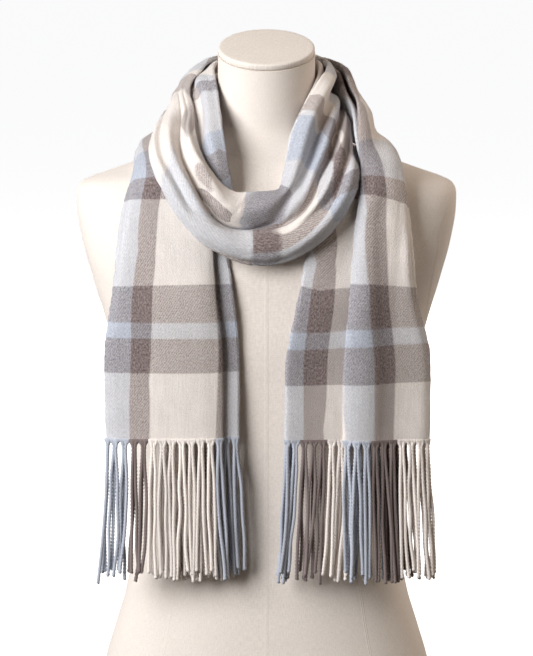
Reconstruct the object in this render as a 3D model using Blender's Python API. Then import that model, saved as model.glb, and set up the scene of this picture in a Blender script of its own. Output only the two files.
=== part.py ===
"""A long fringed plaid scarf wound once round the neck of a limbless dress form.

Run it with: blender --background --python part.py
The form stands on the XY plane with +Z up and faces -Y. Sizes are in millimetres here,
and MM turns them into Blender's metres. The scarf is one ribbon of cloth. STATIONS says
where it runs: from the hem on the left (-X) over that shoulder, behind the neck, round
the front, behind the neck again and down the right (+X). SECTIONS says how the cloth is
folded across its width at each station, and LAYERS says what each pass of it lies over.
"""

import math
from collections import namedtuple

import bpy
import numpy as np
from mathutils import Vector
from mathutils.bvhtree import BVHTree

MM = 0.001

# ---- driving sizes, in millimetres -------------------------------------------------
SCARF_WIDTH = 300.0
CLOTH_THICKNESS = 2.0
SEAM_GAP = 0.3
FORM_CLEARANCE = 1.6
LAYER_GAP = 2.0
FRINGE_STRIP_HEIGHT = 4.0
FRINGE_LENGTH = 170.0
FRINGE_STRANDS = 56
STRAND_TAPER = 0.85
STRAND_SWAY = 3.5
NECK_TILT = 20.0
CAP_RADIUS = 56.8
CAP_THICKNESS = 8.0
CAP_EDGE_ROUND = 2.6
FORM_POINTS = 40

# How finely the cloth is tested against what lies under it, how far to each side of its
# middle, and how far out each test begins.
LAY_ROW = 8.0
LAY_COLUMN = 8.0
LAY_REACH = 88.0
LAY_START = 60.0

# ---- the dress form, one row for each horizontal ring -------------------------------
# height, half of the width, depth before and behind the centre line, how square the
# ring is (2 is an ellipse), how far its centre leans forward, and its forward tilt.
Ring = namedtuple("Ring", "height half_width front back square lean tilt")
FORM_RINGS = (
    Ring(0, 204, 110, 116, 2.5, 0, 0),
    Ring(45, 196, 107, 114, 2.5, 0, 0),
    Ring(90, 183, 102, 107, 2.5, 0, 0),
    Ring(134, 170, 98, 98, 2.5, 0, 0),
    Ring(215, 157, 93, 88, 2.4, 0, 0),
    Ring(300, 161, 95, 90, 2.4, 0, 0),
    Ring(380, 173, 100, 97, 2.4, 0, 0),
    Ring(450, 189, 105, 103, 2.6, 0, 0),
    Ring(514, 207, 105, 106, 2.9, 0, 0),
    Ring(560, 219, 99, 103, 3.1, 0, 0),
    Ring(598, 225, 90, 97, 3.1, 0, 0),
    Ring(616, 225.5, 84, 92, 2.9, 0, 0),
    Ring(626, 221, 80, 88, 2.6, 0, 0),
    Ring(633, 207, 78, 86, 2.4, 0, 0),
    Ring(642, 182, 74, 82, 2.1, 0, 0),
    Ring(653, 151, 69, 77, 2.0, 0, 0),
    Ring(665, 118, 65, 72, 2.0, 0, 0),
    Ring(678, 88, 62.5, 67, 2.0, 0, 0),
    Ring(690, 69, 60, 62.5, 2.0, 1, 1),
    Ring(703, 60.5, 58.5, 59.5, 2.0, 3, 4),
    Ring(722, 58, 57.5, 57.5, 2.0, 6, 9),
    Ring(748, 57.3, 57, 57, 2.0, 10, 15),
    Ring(779, 57.3, 57, 57, 2.0, 15, NECK_TILT),
)

# ---- how the cloth is folded, one row for each section of the ribbon ------------------
# Each pair is a place in the section: how far towards the neck or upwards, and how far
# out from the form. The cloth starts at its outer selvedge, turns under it, shows four
# ridges (a to d) with three creases between them, and then goes back and forth behind
# them, with the last ridge (e) on its way.
Section = namedtuple(
    "Section",
    "selvedge tuck outer_turn ridge_a dip_a ridge_b crease_b ridge_c crease_c ridge_d"
    " turn_1 between_1 turn_2 crease_e ridge_e turn_3 between_3 other_selvedge turns_at",
)
TURNS = ("outer_turn", "turn_1", "turn_2", "turn_3")
SECTIONS = {
    "left_hem": Section(
        (-72, -2), (-75, -1), (-77, 2), (-66, 6.5), (-45, 8.5), (-22, 9.5), (-2, 10), (18, 10),
        (36, 9), (50, 6.5), (59, 3), (25, 1), (-8, -1.5), (16, -4.5), (44, -5), (77, -6),
        (77.5, -6.5), (78, -7), (-146, -12),
    ),
    "left_chest": Section(
        (-54, -7), (-61, -6), (-67, -1), (-60, 6), (-42, 9), (-22, 10.5), (-4, 11.5), (14, 11.5),
        (30, 10.5), (44, 7.5), (51, 3.5), (20, 1), (-16, -1.5), (6, -5), (34, -5), (69, -6),
        (69.5, -6.5), (70, -7), (-135, -13),
    ),
    "left_collarbone": Section(
        (-36, -10), (-48, -9), (-57, -1), (-50, 7), (-34, 10.5), (-18, 11.5), (-2, 11.5),
        (13, 11), (28, 9.5), (40, 7), (48, 3.5), (18, 1), (-22, -2), (2, -5.5), (28, -5.5), (62, -5),
        (62.5, -5.5), (63, -6), (-128, -12),
    ),
    "left_front_shoulder": Section(
        (-8, -10), (-30, -9), (-44, 0), (-37, 8), (-24, 11), (-12, 11), (2, 10), (14, 10),
        (26, 9), (38, 8), (46, 4.5), (16, 2.5), (-24, -1.5), (0, -5.5), (24, -5), (58, -1),
        (58.5, -1.2), (59, -1.4), (-128, -20),
    ),
    "left_shoulder": Section(
        (-2, -6.5), (-30, -5), (-43, 2), (-36, 9), (-24, 11), (-12, 10.5), (0, 9), (0, 8.5),
        (12, 8), (28, 8), (43, 9), (18, 3.5), (-22, 1.5), (-2, -2), (22, -2), (50, 4),
        (50.3, 3.5), (50.6, 3), (-125, -25),
    ),
    "nape": Section(
        (-36, -7.5), (-42, -7), (-47, 1), (-40, 7.5), (-28, 8.5), (-16, 8.5), (-6, 8.5), (8, 8.5),
        (20, 8.5), (32, 8), (43, 5), (0, 3), (-39, -0.5), (-14, -4), (14, -4), (43, -4.5),
        (43.5, -5), (44, -5.5), (-145, -50),
    ),
    "loop_right_start": Section(
        (-16, -5), (-28, -4), (-38, 0), (-33, 5), (-26, 5), (-18, 6), (-10, 3), (-3, 6), (4, 3),
        (18, 8), (38, 3), (20, 0), (-6, -2.5), (8, -5.5), (24, -5.5), (40, -6), (8, -9),
        (-25, -9.5), (-125, -20),
    ),
    "loop_right": Section(
        (-2, -8), (-18, -7), (-31, 0), (-29, 5), (-26, 6), (-23, 8), (-19, 1), (-8, 11), (3, 0),
        (16, 12), (29, 3), (16, -1), (2, -4.5), (10, -8), (18, -8), (27, -8.5), (4, -12),
        (-24, -11), (-104, -8),
    ),
    "loop_right_front": Section(
        (-8, -7), (-24, -6), (-38, 0), (-34, 7), (-29, 6), (-20, 12), (-12, 0), (-1, 13), (10, 0),
        (25, 15), (39, 4), (22, -2), (4, -5), (14, -9), (25, -9.5), (38, -10), (6, -13),
        (-32, -11), (-110, -8),
    ),
    "loop_right_low": Section(
        (-16, -5), (-34, -4), (-44, 3), (-35, 10), (-25, 4), (-12, 15), (0, 1), (9, 13), (18, 2),
        (29, 14), (42, 5), (26, -1), (8, -4), (20, -7.5), (32, -7.5), (42, -8), (8, -11),
        (-34, -10), (-126, -8),
    ),
    "loop_front_right": Section(
        (-14, -4), (-30, -2), (-42, 4), (-33, 14), (-14, 13), (-9, 16), (-2, 2), (9, 14), (22, 7),
        (27, 13), (37, 8), (22, 0), (6, -4.5), (18, -8.5), (28, -9), (35, -10), (4, -13),
        (-34, -9), (-126, -12),
    ),
    "loop_front": Section(
        (-14, -4), (-30, -3), (-45, 4), (-39, 15), (-27, 21), (-11, 19), (-3, 7), (0, -1), (5, 8),
        (20, 18), (40, 9), (26, 0), (8, -5), (20, -8.5), (30, -9), (37, -10), (4, -13), (-34, -9),
        (-126, -12),
    ),
    "loop_front_left": Section(
        (-10, -5), (-24, -4), (-38, 2), (-34, 12), (-26, 17), (-15, 16), (-10, 5), (-7, -2),
        (-3, 6), (10, 17), (34, 9), (16, 0), (-2, -5), (12, -8.5), (24, -9), (31, -10), (0, -13),
        (-34, -10), (-112, -12),
    ),
    "loop_left_low": Section(
        (-14, -5), (-28, -4), (-41, 2), (-34, 12), (-25, 9), (-15, 15), (-6, -1), (-1, 6),
        (4, 10), (12, 15), (22, 4), (10, -1), (-6, -4.5), (14, -7), (28, 1), (38, -1), (8, -10.5),
        (-37, -10), (-100, -8),
    ),
    "loop_left": Section(
        (-17, -5), (-34, -4), (-46, 3), (-40, 11), (-33, 8), (-21, 15), (-10, 0), (-6, 8),
        (-2, 11), (3, 14), (11, 4), (3, 0), (-8, -4), (12, -8), (26, 8), (42, 4), (10, -11),
        (-40, -10), (-97, -8),
    ),
    "loop_left_shoulder": Section(
        (-20, -5), (-30, -4), (-38, 2), (-34, 9), (-30, 9), (-16, 14), (-5, 8), (-2, 7), (0, 5),
        (2, 3.5), (5, 0.5), (-2, -1.8), (-12, -0.5), (12, -6), (24, 7), (38, 3), (10, -9.5),
        (-34, -8.5), (-97, -8),
    ),
    "loop_left_end": Section(
        (-20, -4), (-32, -3), (-40, 3), (-34, 8), (-27, 9), (-15, 10), (-5, 8), (4, 8), (14, 8),
        (24, 8), (38, 5), (10, 1), (-16, -2.5), (0, -5), (20, -5), (40, -3), (26, -8), (2, -9),
        (-105, -20),
    ),
    "right_shoulder": Section(
        (4, -8), (-12, -8), (-30, 0), (-25, 7), (-17, 9), (-8, 10), (0, 9.5), (7, 9), (14, 9),
        (21, 8), (28, 4.5), (6, 2), (-16, -1), (2, -4.5), (14, -4.5), (25, -5.5), (8, -13),
        (-28, -13), (-42, 24),
    ),
    "right_front_shoulder": Section(
        (-3, -9.5), (-14, -9.5), (-29, -0.5), (-24, 8), (-16, 12), (-8, 13), (0, 12.5), (6, 12),
        (12, 11), (18, 9), (25, 5), (6, 2), (-18, -1.5), (0, -5), (14, -5), (20, -6.5),
        (8, -13.5), (-26, -13), (-42, 24),
    ),
    "right_collarbone": Section(
        (12, -9), (-16, -9), (-48, -2), (-42, 6), (-32, 7.5), (-20, 8.5), (-10, 10), (0, 12.5),
        (7, 12), (13, 9), (18, 4), (0, 1.5), (-22, -2), (0, -5), (28, -4.5), (62, -5), (56, -11),
        (36, -12.5), (-47, 26),
    ),
    "right_chest": Section(
        (20, -8), (-30, -8), (-66, -3), (-58, 3.5), (-46, 4.5), (-34, 5), (-22, 8), (-12, 11.5),
        (-2, 12.5), (7, 10), (14, 4), (2, 1.5), (-10, -1.5), (14, -4.5), (40, -4), (72, -5),
        (66, -9), (52, -9.5), (-54, 30),
    ),
    "right_hem": Section(
        (3, -5.5), (-40, -5.5), (-85, -1), (-76, 3), (-60, 3.5), (-45, 4), (-30, 6.5), (-15, 11),
        (-2, 12), (10, 9.5), (19, 4), (13, 1.5), (7, 0), (30, -2.5), (58, -3), (86, -4),
        (81, -8.5), (73, -9), (-61, 43),
    ),
}

# ---- where the ribbon runs, one row for each station -------------------------------
# x, y, z: where the section's zero is. to_x, to_y, to_z: the section's way towards the
# neck or upwards.
Station = namedtuple("Station", "name x y z to_x to_y to_z section")
STATIONS = (
    Station("left_hem", -110, -118, 338, 1, 0, 0, "left_hem"),
    Station("left_belly", -110, -118, 430, 1, 0, 0, "left_hem"),
    Station("left_chest", -110, -117, 515, 1, 0, 0, "left_chest"),
    Station("left_collarbone", -112, -99, 590, 1, 0, 0.02, "left_collarbone"),
    Station("left_front_shoulder", -112, -65, 655, 0.95, -0.12, 0.2, "left_front_shoulder"),
    Station("left_shoulder", -104, -2, 683, 0.904, 0, 0.427, "left_shoulder"),
    Station("left_back_shoulder", -60, 36, 709, 0.26, -0.17, 0.95, "nape"),
    Station("left_nape", -37, 59, 720, 0.08, -0.25, 0.95, "nape"),
    Station("nape_inner", 0, 70, 724, 0, -0.25, 0.97, "nape"),
    Station("right_nape", 42, 60, 728, -0.08, -0.22, 0.96, "nape"),
    Station("loop_right_back", 62, 27, 730, -0.15, -0.1, 0.98, "loop_right_start"),
    Station("loop_right", 71, -26, 721, -0.62, 0, 0.78, "loop_right"),
    Station("loop_right_front", 65, -66, 674, -0.9, -0.1, 0.42, "loop_right_front"),
    Station("loop_right_low", 60, -95, 631, -0.86, 0.2, 0.45, "loop_right_low"),
    Station("loop_front_right", 38, -106, 597, -0.5, 0.25, 0.8, "loop_front_right"),
    Station("loop_front", -3, -112, 583, 0, 0.25, 0.97, "loop_front"),
    Station("loop_front_left", -51, -115, 594, 0.42, 0.28, 0.84, "loop_front_left"),
    Station("loop_left_low", -75, -114, 627, 0.79, 0.3, 0.49, "loop_left_low"),
    Station("loop_left_front", -89, -92, 670, 0.9, 0.2, 0.35, "loop_left"),
    Station("loop_left", -88, -24, 716, 0.84, 0, 0.54, "loop_left_shoulder"),
    Station("loop_left_back", -80, 34, 733, 0.5, -0.27, 0.82, "loop_left_end"),
    Station("left_nape_outer", -48, 77, 729, 0.1, -0.25, 0.96, "nape"),
    Station("nape_outer", 0, 90, 728, 0, -0.2, 0.98, "nape"),
    Station("right_nape_outer", 52, 78, 731, -0.1, -0.2, 0.97, "nape"),
    Station("right_back_shoulder", 80, 36, 732, -0.25, -0.2, 0.95, "right_shoulder"),
    Station("right_shoulder", 90, -4, 712, -0.3, 0, 0.95, "right_shoulder"),
    Station("right_front_shoulder", 126, -62, 652, -0.84, -0.35, 0.2, "right_front_shoulder"),
    Station("right_collarbone", 120, -97, 584, -1, -0.07, 0.02, "right_collarbone"),
    Station("right_chest", 110, -115, 505, -1, -0.14, 0, "right_chest"),
    Station("right_belly", 108, -114, 415, -1, -0.17, 0, "right_hem"),
    Station("right_hem", 107, -114, 335, -1, -0.17, 0, "right_hem"),
)

# ---- the stretches of the ribbon that are solids of their own -----------------------
# from and to are stations; rows and columns say how finely the wall is divided.
Stretch = namedtuple("Stretch", "name start end rows columns")
STRETCHES = (
    Stretch("scarf_left_tail", "left_hem", "left_back_shoulder", 16, 36),
    Stretch("scarf_inner_nape", "left_back_shoulder", "loop_right_back", 8, 34),
    Stretch("scarf_front_loop", "loop_right_back", "loop_left_back", 26, 46),
    Stretch("scarf_outer_nape", "loop_left_back", "right_back_shoulder", 9, 36),
    Stretch("scarf_right_tail", "right_back_shoulder", "right_hem", 17, 38),
)

# ---- the order in which the cloth was laid, one row for each layer -------------------
# A layer lies over the form and over the layers named in its last column. The back of the
# right tail was tucked under the loop, so it comes before it.
Layer = namedtuple("Layer", "name start end first_place last_place over")
LAYERS = (
    Layer("first", "left_hem", "right_nape", -150, 150, ()),
    Layer("tucked", "right_front_shoulder", "right_hem", 60, 150, ()),
    Layer("loop", "right_nape", "left_nape_outer", -150, 150, ("first", "tucked")),
    Layer("last", "left_nape_outer", "right_front_shoulder", -150, 150, ("first", "loop")),
    Layer("front", "right_front_shoulder", "right_chest", -150, 60, ("loop",)),
)

# Colours are rough here: linen for the form, and one plain mix of the plaid's wools.
LINEN = (0.80, 0.72, 0.62, 1)
PLAID_MIX = (0.55, 0.53, 0.52, 1)
FRINGE_MIX = (0.52, 0.48, 0.45, 1)


# ---- curves through rows of numbers -------------------------------------------------
def natural_spline(knots, values, at):
    """A smooth curve through the values, with no bend at its two ends."""
    knots, values, at = (np.asarray(a, float) for a in (knots, values, at))
    step = np.diff(knots)
    slope = np.diff(values, axis=0) / step[:, None]
    system = np.eye(len(knots))
    right = np.zeros_like(values)
    for i in range(1, len(knots) - 1):
        system[i, i - 1 : i + 2] = step[i - 1], 2 * (step[i - 1] + step[i]), step[i]
        right[i] = 6 * (slope[i] - slope[i - 1])
    bend = np.linalg.solve(system, right)
    i = np.clip(np.searchsorted(knots, at) - 1, 0, len(step) - 1)
    width = step[i][:, None]
    after = ((at - knots[i])[:, None]) / width
    before = 1 - after
    straight = before * values[i] + after * values[i + 1]
    curved = (before**3 - before) * bend[i] + (after**3 - after) * bend[i + 1]
    return straight + curved * width**2 / 6


def steady_curve(knots, values, at):
    """A smooth curve through the values that never overshoots them."""
    knots, values, at = (np.asarray(a, float) for a in (knots, values, at))
    step = np.diff(knots)[:, None]
    slope = np.diff(values, axis=0) / step
    product = slope[:-1] * slope[1:]
    mean = 2 * product / np.where(product > 0, slope[:-1] + slope[1:], 1)
    tangent = np.zeros_like(values)
    tangent[1:-1] = np.where(product > 0, mean, 0)
    i = np.clip(np.searchsorted(knots, at) - 1, 0, len(step) - 1)
    t = ((at - knots[i])[:, None]) / step[i]
    return (
        (2 * t**3 - 3 * t**2 + 1) * values[i]
        + (t**3 - 2 * t**2 + t) * step[i] * tangent[i]
        + (3 * t**2 - 2 * t**3) * values[i + 1]
        + (t**3 - t**2) * step[i] * tangent[i + 1]
    )


# ---- the cloth as a ribbon ----------------------------------------------------------
# FINE holds closely spaced places across the cloth. A turn reaches TURN_REACH back from
# its tip to where its two sides are TURN_HALF_GAP from its middle.
FINE = np.linspace(-SCARF_WIDTH / 2, SCARF_WIDTH / 2, 601)
TURN_REACH = 3.6
TURN_HALF_GAP = 2.3
CURVE_STEPS = 14


def unit(vectors):
    return vectors / np.linalg.norm(vectors, axis=-1, keepdims=True)


def with_rounded_turns(points):
    """Adds a point before and after each turn, so that the cloth goes round it."""
    columns = []
    for i, name in enumerate(Section._fields[:-1]):
        here = points[:, i]
        if name not in TURNS:
            columns.append(here)
            continue
        before, after = points[:, i - 1], points[:, i + 1]
        back = unit((before + after) / 2 - here)
        side = np.stack([-back[:, 1], back[:, 0]], axis=1)
        side *= np.sign(((before - after) * side).sum(1, keepdims=True))
        room = np.minimum(
            np.linalg.norm(before - here, axis=1), np.linalg.norm(after - here, axis=1)
        )
        size = np.clip(room / 10, 0.02, 1)[:, None]
        columns.append(here + size * (TURN_REACH * back + TURN_HALF_GAP * side))
        columns.append(here)
        columns.append(here + size * (TURN_REACH * back - TURN_HALF_GAP * side))
    return np.stack(columns, axis=1)


def smooth_lines(points):
    """Centripetal Catmull-Rom curves through rows of points in a plane."""
    first = 2 * points[:, :1] - points[:, 1:2]
    last = 2 * points[:, -1:] - points[:, -2:-1]
    points = np.concatenate([first, points, last], axis=1)
    p0, p1, p2, p3 = (points[:, i : points.shape[1] - 3 + i, None] for i in range(4))
    t1 = np.linalg.norm(p1 - p0, axis=-1, keepdims=True) ** 0.5 + 1e-6
    t2 = t1 + np.linalg.norm(p2 - p1, axis=-1, keepdims=True) ** 0.5 + 1e-6
    t3 = t2 + np.linalg.norm(p3 - p2, axis=-1, keepdims=True) ** 0.5 + 1e-6
    t = t1 + (t2 - t1) * np.linspace(0, 1, CURVE_STEPS, endpoint=False)[None, None, :, None]
    a1 = ((t1 - t) * p0 + t * p1) / t1
    a2 = ((t2 - t) * p1 + (t - t1) * p2) / (t2 - t1)
    a3 = ((t3 - t) * p2 + (t - t2) * p3) / (t3 - t2)
    b1 = ((t2 - t) * a1 + t * a2) / t2
    b2 = ((t3 - t) * a2 + (t - t1) * a3) / (t3 - t1)
    line = (((t2 - t) * b1 + (t - t1) * b2) / (t2 - t1)).reshape(len(points), -1, 2)
    return np.concatenate([line, points[:, -2:-1]], axis=1)


def softened(need):
    """A smooth table that is nowhere less than the one given."""

    def shifted(table, axis):
        pad = [(1, 1) if i == axis else (0, 0) for i in range(2)]
        wide = np.pad(table, pad, "edge")
        ends = (slice(None, -2), slice(2, None))
        return [wide[end] if axis == 0 else wide[:, end] for end in ends]

    for axis in (0, 0, 1):
        need = np.maximum(need, np.maximum(*shifted(need, axis)))
    for axis in (0, 1, 0):
        need = (sum(shifted(need, axis)) + 2 * need) / 4
    return need


def shared_out(turn, places, count, evenness):
    """Places spread so that each step between them has a like share of the turning."""
    effort = turn / turn.sum() + evenness / len(turn)
    total = np.concatenate([[0], np.cumsum(effort)])
    middles = np.linspace(places[0], places[-1], len(total))
    return np.interp(np.linspace(0, total[-1], count), total, middles)


def grid_tree(points):
    """A search tree, in metres, of a grid of points in millimetres."""
    rows, columns = points.shape[:2]
    faces = [
        (r * columns + c, (r + 1) * columns + c, (r + 1) * columns + c + 1, r * columns + c + 1)
        for r in range(rows - 1)
        for c in range(columns - 1)
    ]
    return BVHTree.FromPolygons([Vector(p) * MM for p in points.reshape(-1, 3)], faces)


class Ribbon:
    """The scarf's middle surface, by distance along the ribbon and across it."""

    def __init__(self):
        centres = np.array([(s.x, s.y, s.z) for s in STATIONS], float)
        hops = np.linalg.norm(np.diff(centres, axis=0), axis=1)
        self.knots = np.concatenate([[0], np.cumsum(hops)])
        self.centres = centres
        self.across = unit(np.array([(s.to_x, s.to_y, s.to_z) for s in STATIONS], float))
        self.folds = np.array([SECTIONS[s.section] for s in STATIONS], float)
        self.at = {s.name: knot for s, knot in zip(STATIONS, self.knots)}
        self.lift = None

    def frames(self, along):
        """Centre, way across and way outwards at each distance along the ribbon."""
        centre = natural_spline(self.knots, self.centres, along)
        ahead = natural_spline(self.knots, self.centres, along + 0.5)
        behind = natural_spline(self.knots, self.centres, along - 0.5)
        travel = unit(ahead - behind)
        across = natural_spline(self.knots, self.across, along)
        across = unit(across - (across * travel).sum(1, keepdims=True) * travel)
        return centre, across, np.cross(across, travel)

    def sections(self, along, places):
        """The folded cloth in its own plane, at places across its width."""
        flat = self.folds.reshape(len(self.folds), -1)
        folds = steady_curve(self.knots, flat, along).reshape(len(along), -1, 2)
        turned_at = folds[:, -1]
        lines = smooth_lines(with_rounded_turns(folds[:, :-1]))
        outer_turn = CURVE_STEPS * (Section._fields.index("outer_turn") + 1)
        turn_1 = CURVE_STEPS * (Section._fields.index("turn_1") + 3)
        half = SCARF_WIDTH / 2
        found = []
        for line, (outer_at, first_at) in zip(lines, turned_at):
            run = np.concatenate([[0], np.cumsum(np.linalg.norm(np.diff(line, axis=0), axis=1))])
            where = np.interp(
                places, [-half, outer_at, first_at, half], [0, run[outer_turn], run[turn_1], run[-1]]
            )
            found.append([np.interp(where, run, line[:, 0]), np.interp(where, run, line[:, 1])])
        return np.array(found).transpose(0, 2, 1)

    def rows(self, start, end, count):
        """Distances along the ribbon, closer together where it bends sharply."""
        fine = np.linspace(start, end, len(FINE))
        outwards = self.frames(fine)[2]
        turn = np.linalg.norm(np.diff(outwards, axis=0), axis=1)
        return shared_out(turn, fine, count, 0.8)

    def columns(self, along, count):
        """Places across the cloth, closer together where it bends sharply."""
        travel = np.diff(self.sections(along, FINE), axis=1)
        heading = np.unwrap(np.arctan2(travel[..., 1], travel[..., 0]), axis=1)
        turn = np.abs(np.diff(heading, axis=1)).mean(axis=0)
        return shared_out(turn, FINE, count, 0.45)

    def surface(self, along, places):
        """Points of the middle surface, a row for each distance along the ribbon."""
        centre, across, outwards = self.frames(along)
        plane = self.sections(along, places)
        lift = self.lift_at(along, plane[..., 0])
        return (
            centre[:, None]
            + plane[..., :1] * across[:, None]
            + (plane[..., 1:] + lift[..., None]) * outwards[:, None]
        )

    def lift_at(self, along, towards_neck):
        """How far the cloth is lifted by what lies under it."""
        if self.lift is None:
            return np.zeros_like(towards_neck)
        row = np.clip(along / LAY_ROW, 0, len(self.lift) - 1.001)[:, None]
        column = (towards_neck + LAY_REACH) / LAY_COLUMN
        column = np.clip(column, 0, self.lift.shape[1] - 1.001)
        r, c = row.astype(int), column.astype(int)
        u, v = row - r, column - c
        near = (1 - v) * self.lift[r, c] + v * self.lift[r, c + 1]
        far = (1 - v) * self.lift[r + 1, c] + v * self.lift[r + 1, c + 1]
        return (1 - u) * near + u * far

    def lay(self, form_tree):
        """Lifts each layer clear of the form and of the layers laid before it."""
        rows = np.arange(0, self.knots[-1] + LAY_ROW, LAY_ROW)
        columns = np.arange(-LAY_REACH, LAY_REACH + 1, LAY_COLUMN)
        need = np.zeros((len(rows), len(columns)))
        laid = {}
        for layer in LAYERS:
            start, end = self.at[layer.start], self.at[layer.end]
            places = FINE[(FINE >= layer.first_place) & (FINE <= layer.last_place)]
            here = np.flatnonzero((rows > start + LAY_ROW) & (rows <= end))
            centre, across, outwards = self.frames(rows[here])
            plane = self.sections(rows[here], places)
            under = [(form_tree, FORM_CLEARANCE)] + [laid[name] for name in layer.over]
            for i, row in enumerate(here):
                for j, column in enumerate(columns):
                    close = np.abs(plane[i, :, 0] - column) < LAY_COLUMN / 2
                    if not close.any():
                        continue
                    lowest = plane[i, close, 1].min() - CLOTH_THICKNESS / 2
                    begin = centre[i] + column * across[i] + LAY_START * outwards[i]
                    for tree, gap in under:
                        far = tree.ray_cast(
                            Vector(begin) * MM, Vector(-outwards[i]), 2 * LAY_START * MM
                        )[3]
                        if far is not None:
                            height = LAY_START - far / MM + gap - lowest
                            need[row, j] = max(need[row, j], height)
            self.lift = softened(need)
            sheet = self.surface(np.arange(start, end, LAY_ROW / 2), places[::3])
            laid[layer.name] = grid_tree(sheet), CLOTH_THICKNESS / 2 + LAYER_GAP


# ---- Blender objects ----------------------------------------------------------------
def clear_scene():
    for old in list(bpy.data.objects):
        bpy.data.objects.remove(old)


def finish(name, colour, roughness):
    material = bpy.data.materials.new(name)
    material.use_nodes = True
    shader = material.node_tree.nodes["Principled BSDF"]
    shader.inputs["Base Color"].default_value = colour
    shader.inputs["Roughness"].default_value = roughness
    shader.inputs["Metallic"].default_value = 0.0
    return material


def solid(name, points, faces, material):
    """An object with its own mesh from points in millimetres."""
    mesh = bpy.data.meshes.new(name)
    mesh.from_pydata([Vector(p) * MM for p in points], [], faces)
    mesh.materials.append(material)
    mesh.shade_smooth()
    mesh.set_sharp_from_angle(angle=math.radians(50))
    thing = bpy.data.objects.new(name, mesh)
    bpy.context.scene.collection.objects.link(thing)
    return thing


def ring_points(ring):
    """The points of one ring of the form."""
    tilt = math.radians(ring.tilt)
    points = []
    for i in range(FORM_POINTS):
        angle = 2 * math.pi * i / FORM_POINTS
        c, s = math.cos(angle), math.sin(angle)
        depth = ring.back if s > 0 else ring.front
        x = ring.half_width * math.copysign(abs(c) ** (2 / ring.square), c)
        y = depth * math.copysign(abs(s) ** (2 / ring.square), s)
        points.append((x, y * math.cos(tilt) - ring.lean, ring.height + y * math.sin(tilt)))
    return points


def make_form(material):
    """The torso and neck in one closed body, flat underneath and on the neck."""
    points = [p for ring in FORM_RINGS for p in ring_points(ring)]
    last = len(FORM_RINGS) - 1
    faces = []
    for row in range(last):
        for i in range(FORM_POINTS):
            j = (i + 1) % FORM_POINTS
            low, high = row * FORM_POINTS, (row + 1) * FORM_POINTS
            faces.append((low + i, low + j, high + j, high + i))
    faces.append(tuple(reversed(range(FORM_POINTS))))
    faces.append(tuple(last * FORM_POINTS + i for i in range(FORM_POINTS)))
    return solid("form_torso", points, faces, material)


def make_cap(material):
    """The round lid on the neck, tilted forwards with it."""
    top = FORM_RINGS[-1]
    tilt = math.radians(top.tilt)
    up = Vector((0, -math.sin(tilt), math.cos(tilt)))
    seat = Vector((0, -top.lean, top.height))
    middle = seat + up * (SEAM_GAP + CAP_THICKNESS / 2)
    bpy.ops.mesh.primitive_cylinder_add(
        vertices=FORM_POINTS,
        radius=CAP_RADIUS * MM,
        depth=CAP_THICKNESS * MM,
        location=middle * MM,
        rotation=(tilt, 0, 0),
    )
    cap = bpy.context.object
    cap.name = cap.data.name = "form_neck_cap"
    cap.data.materials.append(material)
    cap.data.shade_smooth()
    bevel = cap.modifiers.new("rounded_edges", "BEVEL")
    bevel.width = CAP_EDGE_ROUND * MM
    bevel.segments = 2
    bevel.limit_method = "ANGLE"
    bevel.angle_limit = math.radians(60)
    return cap


def clear_of_form(points, form_tree, gap):
    """Moves any point that is nearer to the form than gap out to it."""
    moved = points.copy()
    for index in np.ndindex(points.shape[:2]):
        here = Vector(points[index]) * MM
        place, normal, _, far = form_tree.find_nearest(here)
        height = (here - place).dot(normal)
        if height < gap * MM and far < 0.05:
            moved[index] = np.array(here + normal * (gap * MM - height)) / MM
    return moved


def tree_of(thing):
    """A search tree of an object's faces, in metres."""
    mesh = thing.data
    return BVHTree.FromPolygons(
        [v.co for v in mesh.vertices], [tuple(p.vertices) for p in mesh.polygons]
    )


def wall_faces(rows, columns):
    """Faces of a closed wall whose outer points come first and its inner ones after."""
    count = rows * columns
    faces = []

    def at(row, column, layer):
        return layer * count + row * columns + column

    for r in range(rows - 1):
        for c in range(columns - 1):
            faces.append((at(r, c, 0), at(r, c + 1, 0), at(r + 1, c + 1, 0), at(r + 1, c, 0)))
            faces.append((at(r, c, 1), at(r + 1, c, 1), at(r + 1, c + 1, 1), at(r, c + 1, 1)))
    for r in range(rows - 1):
        faces.append((at(r, 0, 0), at(r + 1, 0, 0), at(r + 1, 0, 1), at(r, 0, 1)))
        e = columns - 1
        faces.append((at(r, e, 0), at(r, e, 1), at(r + 1, e, 1), at(r + 1, e, 0)))
    for c in range(columns - 1):
        faces.append((at(0, c, 0), at(0, c, 1), at(0, c + 1, 1), at(0, c + 1, 0)))
        e = rows - 1
        faces.append((at(e, c, 0), at(e, c + 1, 0), at(e, c + 1, 1), at(e, c, 1)))
    return faces


def surface_normals(points):
    """Unit normals of a grid of points, outwards from the form on an unfolded panel."""
    along = np.gradient(points, axis=0)
    across = np.gradient(points, axis=1)
    normal = np.cross(across, along)
    return normal / np.linalg.norm(normal, axis=2)[:, :, None]


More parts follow.
